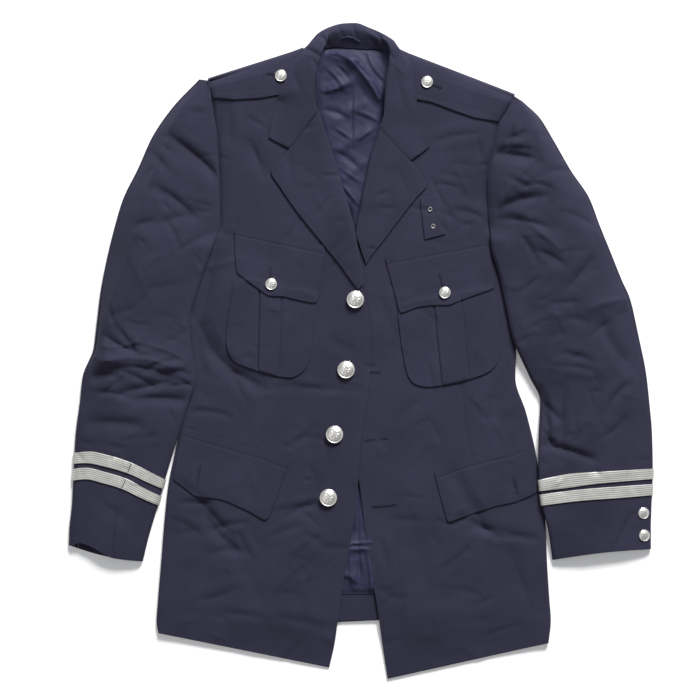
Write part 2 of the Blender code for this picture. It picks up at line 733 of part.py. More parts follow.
def lapel_grid(table, front, lift, rows, cols, tuck):
    at = np.linspace(0, table[-1][0], rows)
    roll_x, roll_y, outer_x, outer_y = columns(table, at)
    grid = []
    for i in range(rows):
        start = np.array([roll_x[i], roll_y[i]])
        across = np.array([outer_x[i], outer_y[i]]) - start
        width = np.hypot(*across)
        across /= width
        x, y = start + across * 5
        high = float(front(x, y)) + lift
        low = float(front(x, y)) - BODY_WALL - lift
        r = (high - low) / 2
        section = [(min(tuck, width * 0.7), low)]
        for angle in NOSE_ANGLES:
            turn = math.radians(angle)
            section.append((r * (1 - math.cos(turn)), low + r * (1 + math.sin(turn))))
        for k in range(1, cols + 1):
            a = r + (width - r) * k / cols
            x, y = start + across * a
            section.append((a, float(front(x, y)) + lift))
        grid.append([(*(start + across * a), z) for a, z in section])
    return np.array(grid)


def make_lapels():
    lift = REST_GAP + 0.4 + LAPEL_WALL
    right = lapel_grid(LAPEL_RIGHT_ROWS, right_height, lift, 14, 6, 9)
    left = lapel_grid(LAPEL_LEFT_ROWS, left_height, lift, 12, 6, 9)
    made = rolled_wall("lapel_right", right, LAPEL_WALL, "navy_wool")
    other = rolled_wall("lapel_left", left, LAPEL_WALL, "navy_wool")
    return made, other


COLLAR_STEPS = (0, 0.5, 0.85, 1.05, 1.35, 1.7, 2.1, 2.5, 3.0)


def make_collar(rest, rows=37):
    at = np.linspace(0, COLLAR_STATIONS[-1][0], rows)
    table = np.asarray(COLLAR_STATIONS, float)
    grid = np.zeros((rows, len(COLLAR_STEPS), 3))
    knots = np.zeros((rows, 4, 3))
    for knot in range(4):
        for axis in range(3):
            values = table[:, 1 + knot * 3 + axis]
            if knot == 0 and axis < 2:
                knots[:, knot, axis] = np.interp(at, table[:, 0], values)
            else:
                knots[:, knot, axis] = curve(table[:, 0], values, at)
    for i in range(rows):
        for axis in range(3):
            grid[i, :, axis] = curve((0, 1, 2, 3), knots[i, :, axis], COLLAR_STEPS)
    for i in range(rows):
        for k, step in enumerate(COLLAR_STEPS):
            x, y, z = grid[i, k]
            if step >= 1.5 and y < 392:
                grid[i, k, 2] = max(z, rest.top(x, y) + REST_GAP + COLLAR_WALL)
    return rolled_wall("collar", grid, COLLAR_WALL, "navy_wool")


STRAPS = {
    # side: shoulder edge from the sleeve to the collar, then the lower edge the same way
    "right": (
        ((-188, 353.7), (-92, 385.9)),
        ((-187.5, 328), (-164, 326), (-132, 328), (-104, 333), (-88, 336)),
    ),
    "left": (
        ((186, 335), (62, 384)),
        ((177.5, 298), (147, 302.5), (120, 312), (91, 323), (71, 327), (58, 331)),
    ),
}
# The strap over that fold: distance out from its edge, share of the full height and lift
STRAP_FOLD = ((2.3, 0.0, 0.3), (2.0, 0.45, 0.8), (0.3, 0.8, 2.4))


def make_straps(fronts):
    """Each strap starts just over the shoulder's fold and lies on the front."""
    made = {}
    for side, (upper, lower) in STRAPS.items():
        first, last = along(upper, 9), along(lower, 9)
        over = first - last
        over /= np.linalg.norm(over, axis=1, keepdims=True)
        rest = Rest(fronts[side])
        full = np.array([rest.top(x, y) for x, y in first - over * 7.5])
        rows = [np.c_[first + over * out, full * share + lift] for out, share, lift in STRAP_FOLD]
        for share in (0.15, 0.25, 0.4, 0.6, 0.8, 1.0):
            places = first * (1 - share) + last * share
            heights = [rest.top(x, y) + REST_GAP + 0.35 + PATCH_WALL for x, y in places]
            rows.append(np.c_[places, heights])
        made[side] = rolled_wall("shoulder_strap_" + side, np.array(rows), PATCH_WALL, "navy_wool")
    return made


def make_patch(name, rest, rows, cols):
    grid = lie_on(patch(PATCHES[name], rows, cols), rest, REST_GAP + PATCH_WALL)
    return drop_wall(name, grid, PATCH_WALL, "navy_wool")


def make_pocket(name, rest, pleat):
    """A patch pocket with a box pleat raised down its middle."""
    sides = PATCHES[name]
    places = patch(sides, 9, 25)
    (top_a, top_b), (low_a, low_b) = pleat
    picked = []
    for row in places:
        share = (sides[0][0][1] - row[12][1]) / (sides[0][0][1] - sides[2][2][1])
        start = top_a + (low_a - top_a) * share
        stop = top_b + (low_b - top_b) * share
        wanted = (row[0][0], (row[0][0] + start) / 2, start - 0.4, start, stop, stop + 0.4)
        wanted += ((row[-1][0] + stop) / 2, row[-1][0])
        picked.append([(x, np.interp(x, row[:, 0], row[:, 1])) for x in wanted])
    grid = lie_on(np.array(picked), rest, REST_GAP + PATCH_WALL)
    raised = grid.copy()
    raised[4:, 3:5, 2] += PLEAT_RAISE
    inner = grid.copy()
    inner[:, :, 2] -= PATCH_WALL
    return wall(name, raised, inner, "navy_wool")


def turned(name, profile, place, axis, look, sides=16):
    """A turned piece: profile of radius and height pairs, spun round the axis at its place."""
    bm = bmesh.new()
    verts = [bm.verts.new((radius * MM, 0, up * MM)) for radius, up in profile]
    edges = [bm.edges.new(pair) for pair in zip(verts, verts[1:])]
    if profile[0][0] > 0 and profile[-1][0] > 0:
        edges.append(bm.edges.new((verts[-1], verts[0])))
    bmesh.ops.spin(
        bm,
        geom=verts + edges,
        cent=(0, 0, 0),
        axis=(0, 0, 1),
        angle=2 * math.pi,
        steps=sides,
        use_merge=True,
    )
    bmesh.ops.remove_doubles(bm, verts=bm.verts[:], dist=1e-6)
    bmesh.ops.recalc_face_normals(bm, faces=bm.faces[:])
    turn = Vector((0, 0, 1)).rotation_difference(Vector(axis)).to_matrix().to_4x4()
    bmesh.ops.transform(bm, matrix=turn, verts=bm.verts[:])
    bmesh.ops.translate(bm, vec=Vector(place) * MM, verts=bm.verts[:])
    return mesh_object(name, bm, look, smooth_angle=35)


def button(name, place, size, rest, sides, tilt=False):
    """A domed metal button with a raised rim, on the highest cloth under it."""
    x, y = place
    radius = size / 2
    turns = np.linspace(0, 2 * math.pi, 13)[:-1]
    ring = [(x + r * math.cos(t), y + r * math.sin(t)) for r in (radius / 2, radius) for t in turns]
    heights = [rest.top(*spot, missing=-99) for spot in ring]
    axis = (0, 0, 1)
    if tilt:
        spots = [(sx, sy, sz) for (sx, sy), sz in zip(ring, heights) if sz > -50]
        points = np.array(spots)
        slope = np.linalg.lstsq(np.c_[points[:, :2], np.ones(len(points))], points[:, 2], rcond=None)[0]
        axis = Vector((-slope[0], -slope[1], 1)).normalized()
        over = (points - (x, y, 0)) @ np.array(axis)
        z = over.max() / axis.z + 0.4
    else:
        z = max(heights) + 0.4
    profile = [
        (0, 0),
        (radius * 0.86, 0),
        (radius, size * 0.05),
        (radius * 0.95, size * 0.125),
        (radius * 0.84, size * 0.105),
        (radius * 0.5, size * 0.185),
        (0, size * 0.215),
    ]
    return turned(name, profile[::-1], (x, y, z), axis, "silver_metal", sides)


def make_tab(rest):
    """A small cloth tab with two eyelet holes, for a badge's pins."""
    a, b, c, d = TAB_CORNERS
    grid = lie_on(patch(((a, b), (b, c), (d, c), (a, d)), 7, 5), rest, REST_GAP + PATCH_WALL)
    tab = drop_wall("badge_tab", grid, PATCH_WALL, "navy_wool")
    hole, outer = EYELET_HOLE / 2, EYELET_OUTER / 2
    cut_radius = EYELET_OUTER * 0.4 * MM
    for k, (x, y) in enumerate(EYELET_PLACES):
        bm = bmesh.new()
        bmesh.ops.create_cone(
            bm, cap_ends=True, segments=10, radius1=cut_radius, radius2=cut_radius, depth=20 * MM
        )
        bmesh.ops.translate(bm, vec=Vector((x, y, 12)) * MM, verts=bm.verts[:])
        cutter = mesh_object("tab_hole_" + str(k), bm, "navy_wool")
        cutter.hide_render = True
        cutter.display_type = "WIRE"
        cut = tab.modifiers.new("hole", "BOOLEAN")
        cut.object = cutter
    profile = [
        (hole + 0.6, -1.0),
        (hole + 0.6, 0.0),
        (outer, 0.0),
        (outer, 0.3),
        (outer - 0.6, 0.9),
        (hole, 0.7),
        (hole, -1.0),
    ]
    for k, (x, y) in enumerate(EYELET_PLACES):
        near = max(Rest(tab).top(x + dx, y + dy) for dx, dy in ((3, 0), (-3, 0), (0, 3), (0, -3)))
        turned("eyelet_" + str(k + 1), profile, (x, y, near + 0.3), (0, 0, 1), "silver_metal", 10)
    return tab


# The neck lining's top row goes down under the collar's stand
LINING_TUCK = 1.1
NECK_LINING = (
    ((-38, 397), (-20, 396.8), (-8, 396.4), (6, 395), (18, 395.6), (27, 394.8)),
    (
        (27, 394.8),
        (38, 370),
        (36, 345),
        (33, 320),
        (24, 285),
        (17, 262),
        (9, 225),
        (3, 200),
        (-3, 172),
        (-6, 150),
    ),
    ((-16, 150), (-6, 150)),
    (
        (-38, 397),
        (-51, 375),
        (-59, 360),
        (-59, 330),
        (-55, 305),
        (-45, 265),
        (-35, 232),
        (-27, 203),
        (-19, 170),
        (-16, 150),
    ),
)
HEM_LINING = (
    ((-38, -135), (30, -135)),
    ((30, -135), (32, -230), (40, -316)),
    ((-50, -316), (40, -316)),
    ((-38, -135), (-40, -230), (-50, -316)),
)
HEM_FACING = (
    ((-52, -317), (42, -317)),
    ((42, -317), (44, -349)),
    ((-52, -351), (44, -349)),
    ((-52, -317), (-52, -351)),
)
LINING_FOLDS = (
    # x0, y0, x1, y1, width, height
    (-41, 385, -16, 378, 6, 2.2),
    (-16, 378, 22, 327, 6, 2.2),
    (-10, 380, 27, 333, 5, 1.6),
    (-40, 340, -12, 352, 6, 1.8),
    (-34, 300, 4, 322, 7, 1.6),
    (-30, 262, 8, 285, 7, 1.4),
    (-22, 225, 2, 245, 6, 1.2),
    (-14, -180, 2, -240, 6, 1.0),
    (-20, -258, 12, -258, 4, 0.9),
    (0, -270, 12, -305, 6, 1.0),
)


def make_linings():
    for name, sides, rows, cols, look, thick in (
        ("neck_lining", NECK_LINING, 18, 8, "navy_satin", LINING_WALL),
        ("hem_lining", HEM_LINING, 11, 7, "navy_satin", LINING_WALL),
        ("hem_facing", HEM_FACING, 3, 6, "navy_wool", 1.2),
    ):
        places = patch(sides, rows, cols)
        rise = fold_height(places[:, :, 0], places[:, :, 1], LINING_FOLDS)
        rim = np.ones((rows, cols))
        rim[0], rim[-1], rim[:, 0], rim[:, -1] = 0, 0, 0, 0
        heights = 2.0 + 0.35 + thick + rise * rim * (look == "navy_satin")
        if name == "neck_lining":
            heights[0] -= LINING_TUCK
        inner = np.dstack([places, heights - thick])
        wall(name, np.dstack([places, heights]), inner, look)


def make_hanger(rest):
    """The hanging loop: a thin cord along the inside of the collar's stand."""
    line = bpy.data.curves.new("hanger_loop", "CURVE")
    line.dimensions = "3D"
    line.bevel_depth = CORD_RADIUS * MM
    line.bevel_resolution = 2
    line.use_fill_caps = True
    spline = line.splines.new("POLY")
    places = along(((-25, 406), (-19, 407.5), (-12, 406.5), (-2, 401.5)), 7)
    spline.points.add(len(places) - 1)
    for point, (x, y) in zip(spline.points, places):
        near = ((0, 0), (0, CORD_RADIUS), (0, -CORD_RADIUS), (CORD_RADIUS, 0), (-CORD_RADIUS, 0))
        high = max(rest.top(x + dx, y + dy) for dx, dy in near)
        point.co = (x * MM, y * MM, (high + CORD_RADIUS + SEAM_GAP + 0.15) * MM, 1)
    made = bpy.data.objects.new("hanger_loop", line)
    line.materials.append(material("navy_satin"))
    bpy.context.scene.collection.objects.link(made)


def main():
    for found in list(bpy.data.objects):
        bpy.data.objects.remove(found)
    front_right, front_left = make_fronts()
    fronts = {"right": front_right, "left": front_left}
    make_back()
    sleeves = make_sleeves()
    make_lace()
    lapel_right, lapel_left = make_lapels()
    straps = make_straps(fronts)
    collar = make_collar(Rest(front_right, front_left, straps["right"], straps["left"]))
    make_linings()
    make_hanger(Rest(collar))
    for side in ("right", "left"):
        pleat = PLEAT_RIGHT if side == "right" else PLEAT_LEFT
        lapel = lapel_right if side == "right" else lapel_left
        pocket = make_pocket("breast_pocket_" + side, Rest(fronts[side]), pleat)
        flap = make_patch("breast_flap_" + side, Rest(fronts[side], pocket), 8, 11)
        button("pocket_button_" + side, POCKET_BUTTONS[side], SMALL_BUTTON, Rest(flap), 10)
        button("strap_button_" + side, STRAP_BUTTONS[side], SMALL_BUTTON, Rest(straps[side]), 10)
        make_patch("lower_flap_" + side, Rest(fronts[side]), 7, 12)
    make_tab(Rest(front_left))
    for number, place in enumerate(LARGE_BUTTONS, 1):
        button("front_button_" + str(number), place, LARGE_BUTTON, Rest(front_right), 14)
    for number, place in enumerate(CUFF_BUTTONS, 1):
        button("cuff_button_" + str(number), place, SMALL_BUTTON, Rest(sleeves["left"]), 10, tilt=True)


main()
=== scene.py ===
"""Looks of the fire service dress jacket: its cloth, linings, braid, buttons, sewing, floor and light.

The tables are millimetres, most of them like the part's, and become metres when a piece is made. X runs to
the picture's right, which is the wearer's left, Y from hem to collar and Z up from the floor.
"""

import math
import random

import bmesh
import bpy
import numpy as np
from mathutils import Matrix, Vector, noise
from mathutils.bvhtree import BVHTree


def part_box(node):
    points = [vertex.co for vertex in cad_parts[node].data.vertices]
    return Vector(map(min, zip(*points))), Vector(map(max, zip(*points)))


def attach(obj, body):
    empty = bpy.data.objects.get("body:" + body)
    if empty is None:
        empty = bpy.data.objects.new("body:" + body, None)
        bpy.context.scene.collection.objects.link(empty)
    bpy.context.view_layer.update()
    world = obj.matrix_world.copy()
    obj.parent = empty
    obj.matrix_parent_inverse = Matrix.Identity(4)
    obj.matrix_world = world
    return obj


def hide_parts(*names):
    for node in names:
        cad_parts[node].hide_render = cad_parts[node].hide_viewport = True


bl_info = {
    "name": "Dress jacket looks",
    "version": (1, 0, 0),
    "blender": (4, 5, 0),
    "location": "3D View > Sidebar > Jacket",
    "description": "Makes the cloth, trim, floor and light of a dress jacket that lies flat",
    "category": "Object",
}

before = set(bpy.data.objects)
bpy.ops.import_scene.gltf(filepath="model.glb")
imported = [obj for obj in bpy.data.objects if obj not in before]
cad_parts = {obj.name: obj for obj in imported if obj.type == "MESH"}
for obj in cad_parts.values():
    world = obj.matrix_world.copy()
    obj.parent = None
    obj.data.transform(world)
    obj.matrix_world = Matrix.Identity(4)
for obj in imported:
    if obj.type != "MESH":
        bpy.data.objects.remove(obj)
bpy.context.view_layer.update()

MM = 0.001
# Air left between pieces at a seam, and beneath a piece that lies on cloth
SEAM_GAP = 0.3
REST_GAP = 0.55

# Cloth walls
BODY_WALL = 2.0
LAPEL_WALL = 1.7
COLLAR_WALL = 1.8
SLEEVE_WALL = 1.8
PATCH_WALL = 1.5
LINING_WALL = 1.0
LACE_WALL = 1.1

# Folded edges and seams, then heights of the flat garment
EDGE_RADIUS = 3.2
EDGE_TUCK = 12.0
SEAM_TURN = 4.5
BODY_HEIGHT = 8.6
CHEST_RISE = 1.8
SHOULDER_RISE = 5.0
ROLL_RISE = 3.0
OVERLAP_RISE = 2.9
CROSSING_RISE = 2.6
PLEAT_RAISE = 1.2
CORD_RADIUS = 0.9
# How far the stitching lies in from a pocket's and a flap's edge, and the length of a stitch
POCKET_STITCH = 5.5
FLAP_STITCH = 11.0
STITCH_PITCH = 2.6
# How far a lapel's underside reaches in from its roll
LAPEL_TUCK = 9
# Further air beneath a lapel, a strap and the lace
LAPEL_GAP = 0.4
STRAP_GAP = 0.35
LACE_GAP = 0.4
# Half width of a worked buttonhole, radius of its thread and of the lace joint's, and their lift
HOLE_HALF = 0.9
HOLE_THREAD = 0.55
HOLE_LIFT = 0.15
JOINT_THREAD = 0.45
JOINT_LIFT = 0.1

# Under sleeve: its wall, and how far its inner side stays back from the top panel's
UNDER_WALL = 1.6
UNDER_INSET = 1.3
# The linings: gap over the back, dip under the collar's seam and rise at the neck's corners
LINING_GAP = 0.35
LINING_TUCK = 1.1
COLLAR_MEETING = 7.0
# Gain of the linings' folds and how high the linings puff up
LINING_GAIN = 1.45
LINING_RISE = 1.3

# Diameters of the buttons
LARGE_BUTTON = 22.9
SMALL_BUTTON = 15.2

# Right front, on top: y, side x, inner x (roll line or front edge), how far the side is a closed fold
FRONT_RIGHT_ROWS = (
    # row, side_x, side_y, edge_x, edge_y, closed
    (0, -196, 351, -74, 392, 0),
    (1, -193, 330, -68, 352, 0),
    (2, -189, 300, -62, 315, 0),
    (3, -186, 270, -45.5, 265, 0),
    (4, -184, 235, -34.5, 233, 0),
    (5, -183, 200, -25, 203, 0),
    (6, -183, 166, -15, 165, 0),
    (7, -206, 128, -7.5, 126, 1),
    (8, -219, 90, -1.5, 92, 1),
    (9, -227, 55, 6, 62, 1),
    (10, -224, 10, 12, 12, 1),
    (11, -222, -35, 10, -37, 1),
    (12, -232, -80, 4, -80, 1),
    (13, -242, -130, -2, -130, 1),
    (14, -251, -175, -5, -176, 1),
    (15, -256, -222, -10, -220, 1),
    (16, -260, -272, -18, -270, 1),
    (17, -264, -320, -27, -322, 1),
    (18, -266, -350, -35, -380, 1),
    (19, -264, -366, -42, -411, 1),
)
# Left front, under it: its armhole seam is the photo's border with the sleeve
FRONT_LEFT_ROWS = (
    # row, side_x, side_y, edge_x, edge_y, closed
    (0, 196, 331, 52, 388, 0),
    (1, 186, 312, 46, 350, 0),
    (2, 176, 294, 38, 322, 0),
    (3, 170, 262, 18.5, 262, 0),
    (4, 162, 230, 10.5, 225, 0),
    (5, 161, 208, 5, 200, 0),
    (6, 164, 170, -1.5, 165, 0),
    (7, 176, 132, -12, 126, 1),
    (8, 188, 92, -22, 92, 1),
    (9, 197, 50, -25, 60, 1),
    (10, 201, 5, -24, 12, 1),
    (11, 200, -35, -25, -37, 1),
    (12, 214, -80, -24, -80, 1),
    (13, 226, -130, -14, -130, 1),
    (14, 234, -178, -2, -176, 1),
    (15, 239, -222, 3, -220, 1),
    (16, 241, -272, 8, -270, 1),
    (17, 244, -320, 19, -322, 1),
    (18, 246, -350, 27, -380, 1),
    (19, 243, -379, 34, -425.6, 1),
)
# Lapels: roll line, then outer edge, from the gorge seam down to the first button
LAPEL_RIGHT_ROWS = (
    # row, roll_x, roll_y, outer_x, outer_y
    (0, -55, 311, -93, 263),
    (1, -48, 288, -104, 249),
    (2, -39, 262, -117, 233),
    (3, -30, 232, -104, 211),
    (4, -21, 203, -84, 182),
    (5, -10, 163, -56, 147),
    (6, -3, 126, -27, 111),
    (7, 1, 105, -12, 90),
    (8, 3, 88, -4, 80),
)
LAPEL_LEFT_ROWS = (
    # row, roll_x, roll_y, outer_x, outer_y
    (0, 23, 290, 64, 247),
    (1, 19, 276, 74, 233),
    (2, 14, 262, 85, 217),
    (3, 9, 242, 70, 198),
    (4, 5, 223, 55, 179),
    (5, 1, 204, 40, 159),
    (6, -3, 182, 24, 138),
    (7, -6, 168, 13, 124),
    (8, -8, 154, 6, 113),
)
# Collar: seam, roll, shoulder of the leaf and leaf edge, from the right notch round to the left notch
COLLAR_STATIONS = (
    # row, seam xyz, roll xyz, leaf xyz, edge xyz
    (0, -93.4, 263.3, 14, -96, 265, 14.2, -106, 269.6, 14, -120, 277, 13),
    (1, -74.4, 287.3, 14.5, -80, 289, 15, -96, 293, 14.6, -117, 298, 12.6),
    (2, -55.4, 311.3, 15, -60, 313, 16.5, -85, 317, 15.6, -111, 319, 12.4),
    (3, -65, 338, 12.5, -57, 340, 19, -82, 340, 19.0, -106, 334, 17.4),
    (4, -64, 362, 12.5, -57, 364, 21, -78, 361, 20.0, -99, 350, 17.4),
    (5, -57, 382, 11, -51, 387, 22, -71, 381, 20.5, -91, 371, 15),
    (6, -49, 391, 9, -46, 399, 21, -63, 397, 19, -79, 388, 10),
    (7, -42, 395, 6, -43, 409, 18, -58, 410, 13, -64, 401, 2),
    (8, -34, 395, 5, -37, 414, 16, -42, 420.5, 9, -42, 404, 0.9),
    (9, -20, 393.5, 4.6, -21, 416, 15, -23, 425.5, 8.5, -22, 404, 0.9),
    (10, -8, 393, 4.6, -8, 416, 14.5, -8, 426, 8.5, -8, 404, 0.9),
    (11, 6, 391.5, 4.6, 7, 413, 15, 10, 420, 8.8, 8, 402, 0.9),
    (12, 18, 392.5, 5, 22, 407, 17, 32, 409.5, 11, 24, 399, 0.9),
    (13, 27, 392, 7, 31, 402, 20, 43, 401, 15, 42, 390, 6),
    (14, 36, 384, 10, 37, 390, 22, 48, 389, 20, 58, 383, 11.5),
    (15, 41, 370, 12, 36, 375, 22, 49, 373, 20.5, 65, 368, 15),
    (16, 38, 350, 12.5, 32, 352, 21, 47, 350, 19.5, 69, 345, 15),
    (17, 35, 322, 12.5, 30, 326, 19, 46, 322, 17.5, 72, 320, 14.4),
    (18, 23.3, 290.4, 15, 29, 293, 16, 48, 294, 15.2, 77, 294, 12.6),
    (19, 43.8, 268.9, 14.5, 49, 272, 14.8, 63, 276, 14.2, 84, 277, 13),
    (20, 64.3, 247.4, 14, 67, 250, 14, 76, 256, 13.8, 88, 265, 13),
)
# Sleeves: outer and inner ends of each section, crown height and where the crown lies across it
SLEEVE_RIGHT_ROWS = (
    # row, out_x, out_y, in_x, in_y, crown, crown_at, closed
    (0, -211, 353, -197.0, 350.5, 11.5, 0.5, 0),
    (1, -246, 316, -192.5, 312, 22, 0.25, 0),
    (2, -272, 278, -187, 275, 25, 0.22, 0),
    (3, -290, 238, -185, 235, 27, 0.23, 0),
    (4, -310, 197, -183.7, 200, 28, 0.23, 0),
    (5, -321, 160, -183.7, 165, 28, 0.205, 0),
    (6, -331, 119, -198, 121, 27, 0.2, 1),
    (7, -339, 77, -213, 77, 26, 0.15, 1),
    (8, -344, 36, -223, 36, 24, 0.1, 1),
    (9, -348, 4, -220, 4, 24, 0.12, 1),
    (10, -362, -32, -215, -36, 23, 0.35, 1),
    (11, -366, -67, -224, -67, 20, 0.4, 1),
    (12, -371, -105, -237, -109, 18, 0.45, 1),
    (13, -374, -154, -253, -160, 16, 0.45, 1),
    (14, -376, -197, -265, -203, 15, 0.45, 1),
    (15, -379.5, -232, -276, -240, 14, 0.45, 1),
    (16, -380, -252, -284, -273, 13, 0.45, 1),
)
SLEEVE_LEFT_ROWS = (
    # row, out_x, out_y, in_x, in_y, crown, crown_at, closed
    (0, 212, 322, 197.5, 331, 11.5, 0.5, 0),
    (1, 231, 304, 187, 311, 20, 0.35, 0),
    (2, 249, 275, 177.0, 294, 24, 0.35, 0),
    (3, 272, 235, 170.8, 262, 26, 0.35, 0),
    (4, 296, 199, 162.5, 218, 28, 0.35, 0),
    (5, 309, 165, 164.8, 170, 28, 0.35, 0),
    (6, 324, 128, 168, 134, 27, 0.4, 1),
    (7, 338, 93, 178, 100, 26, 0.4, 1),
    (8, 349, 68, 187, 58, 25, 0.4, 1),
    (9, 360, 20, 197, 14, 24, 0.4, 1),
    (10, 370, -30, 217, -31, 23, 0.4, 1),
    (11, 374, -66, 232, -66, 22, 0.45, 1),
    (12, 377.5, -107, 230, -107, 20, 0.5, 1),
    (13, 378.5, -150, 229, -150, 18, 0.5, 1),
    (14, 377, -195, 233, -195, 16, 0.5, 1),
    (15, 376, -230, 242, -232, 14, 0.5, 1),
    (16, 376, -257, 248, -271, 13, 0.5, 1),
)
CUFF_SAG_RIGHT = -4.0
CUFF_SAG_LEFT = 2.5
# How far each sleeve's inner edge is raised to lie on the body's side: row, height
LIFTS_RIGHT = ((0, 8.5), (11, 8.5), (12, 7), (13, 2), (14, 0), (16, 0))
LIFTS_LEFT = ((0, 8.5), (9, 8.5), (10, 3), (11, 1), (12, 4), (13, 8.5), (14.5, 8.5), (15.4, 3), (16, 0))

# Patches: four sides each, top, right, bottom and left, every side from left to right or top to bottom
PATCHES = {
    "breast_pocket_right": (
        ((-164, 97), (-59, 74)),
        ((-59, 74), (-61, 44), (-67, -9), (-72, -24)),
        ((-166, -14), (-139, -24), (-112, -32), (-88, -35), (-72, -24)),
        ((-164, 97), (-172, 47), (-176, 14), (-174, 0), (-166, -14)),
    ),
    "breast_pocket_left": (
        ((46, 60), (172, 82)),
        ((172, 82), (178, 51), (181, 14), (179, -10), (171, -24)),
        ((68, -43), (86, -47), (128, -40), (156, -31), (171, -24)),
        ((46, 60), (51, 16), (57, -21), (61, -35), (68, -43)),
    ),
    "breast_flap_right": (
        ((-165, 162), (-49, 137)),
        ((-49, 137), (-47, 129), (-57, 66), (-60, 62)),
        ((-162, 102), (-147, 91), (-132, 80), (-121, 72), (-100, 71), (-80, 66), (-60, 62)),
        ((-165, 162), (-164, 130), (-162, 102)),
    ),
    "breast_flap_left": (
        ((30, 123), (160, 148)),
        ((160, 148), (165, 133), (174, 86), (171, 81)),
        ((50, 49), (74, 58), (92, 60), (114, 60), (130, 67), (150, 74), (171, 81)),
        ((30, 123), (40, 87), (50, 49)),
    ),
    "lower_flap_right": (
        ((-232, -99), (-133, -128), (-94, -143)),
        ((-94, -143), (-107, -180), (-120, -216), (-125, -220)),
        ((-245, -166), (-229, -178), (-217, -188), (-187, -191), (-176, -194), (-147, -207), (-125, -220)),
        ((-232, -99), (-238, -130), (-245, -166)),
    ),
    "lower_flap_left": (
        ((94, -155), (142, -138), (192, -126), (212, -118)),
        ((212, -118), (222, -150), (229, -180), (225, -185)),
        ((112, -222), (145, -210), (173, -201), (201, -195), (225, -185)),
        ((94, -155), (103, -190), (112, -222)),
    ),
}
LACE = {
    "right": {
        "upper": (
            ((-380, -133), (-352, -130), (-326, -135), (-297, -145), (-277, -155), (-250, -169)),
            ((-380, -147), (-357, -145), (-334, -149), (-303, -158), (-277, -170), (-250, -182)),
        ),
        "lower": (
            ((-380, -154), (-357, -151), (-334, -156), (-305, -165), (-281, -178), (-250, -193)),
            ((-380, -169), (-357, -166), (-334, -171), (-311, -178), (-288, -189), (-250, -206)),
        ),
    },
    "left": {
        "upper": (
            ((225, -168), (275, -158), (310, -156), (385, -152)),
            ((225, -182), (265, -177), (310, -171), (385, -165)),
        ),
        "lower": (
            ((225, -187), (284, -179), (336, -175), (385, -172)),
            ((225, -201), (291, -193), (336, -190), (385, -186)),
        ),
    },
}
TAB_CORNERS = ((76, 198), (102, 203), (109, 152), (82, 145))
EYELET_PLACES = ((89, 184), (93, 162))
# Box pleats: left and right line at the pocket's top, then at its foot
POCKET_PLEATS = {
    "right": ((-132, -103), (-135, -108)),
    "left": ((93, 129), (104, 140)),
}


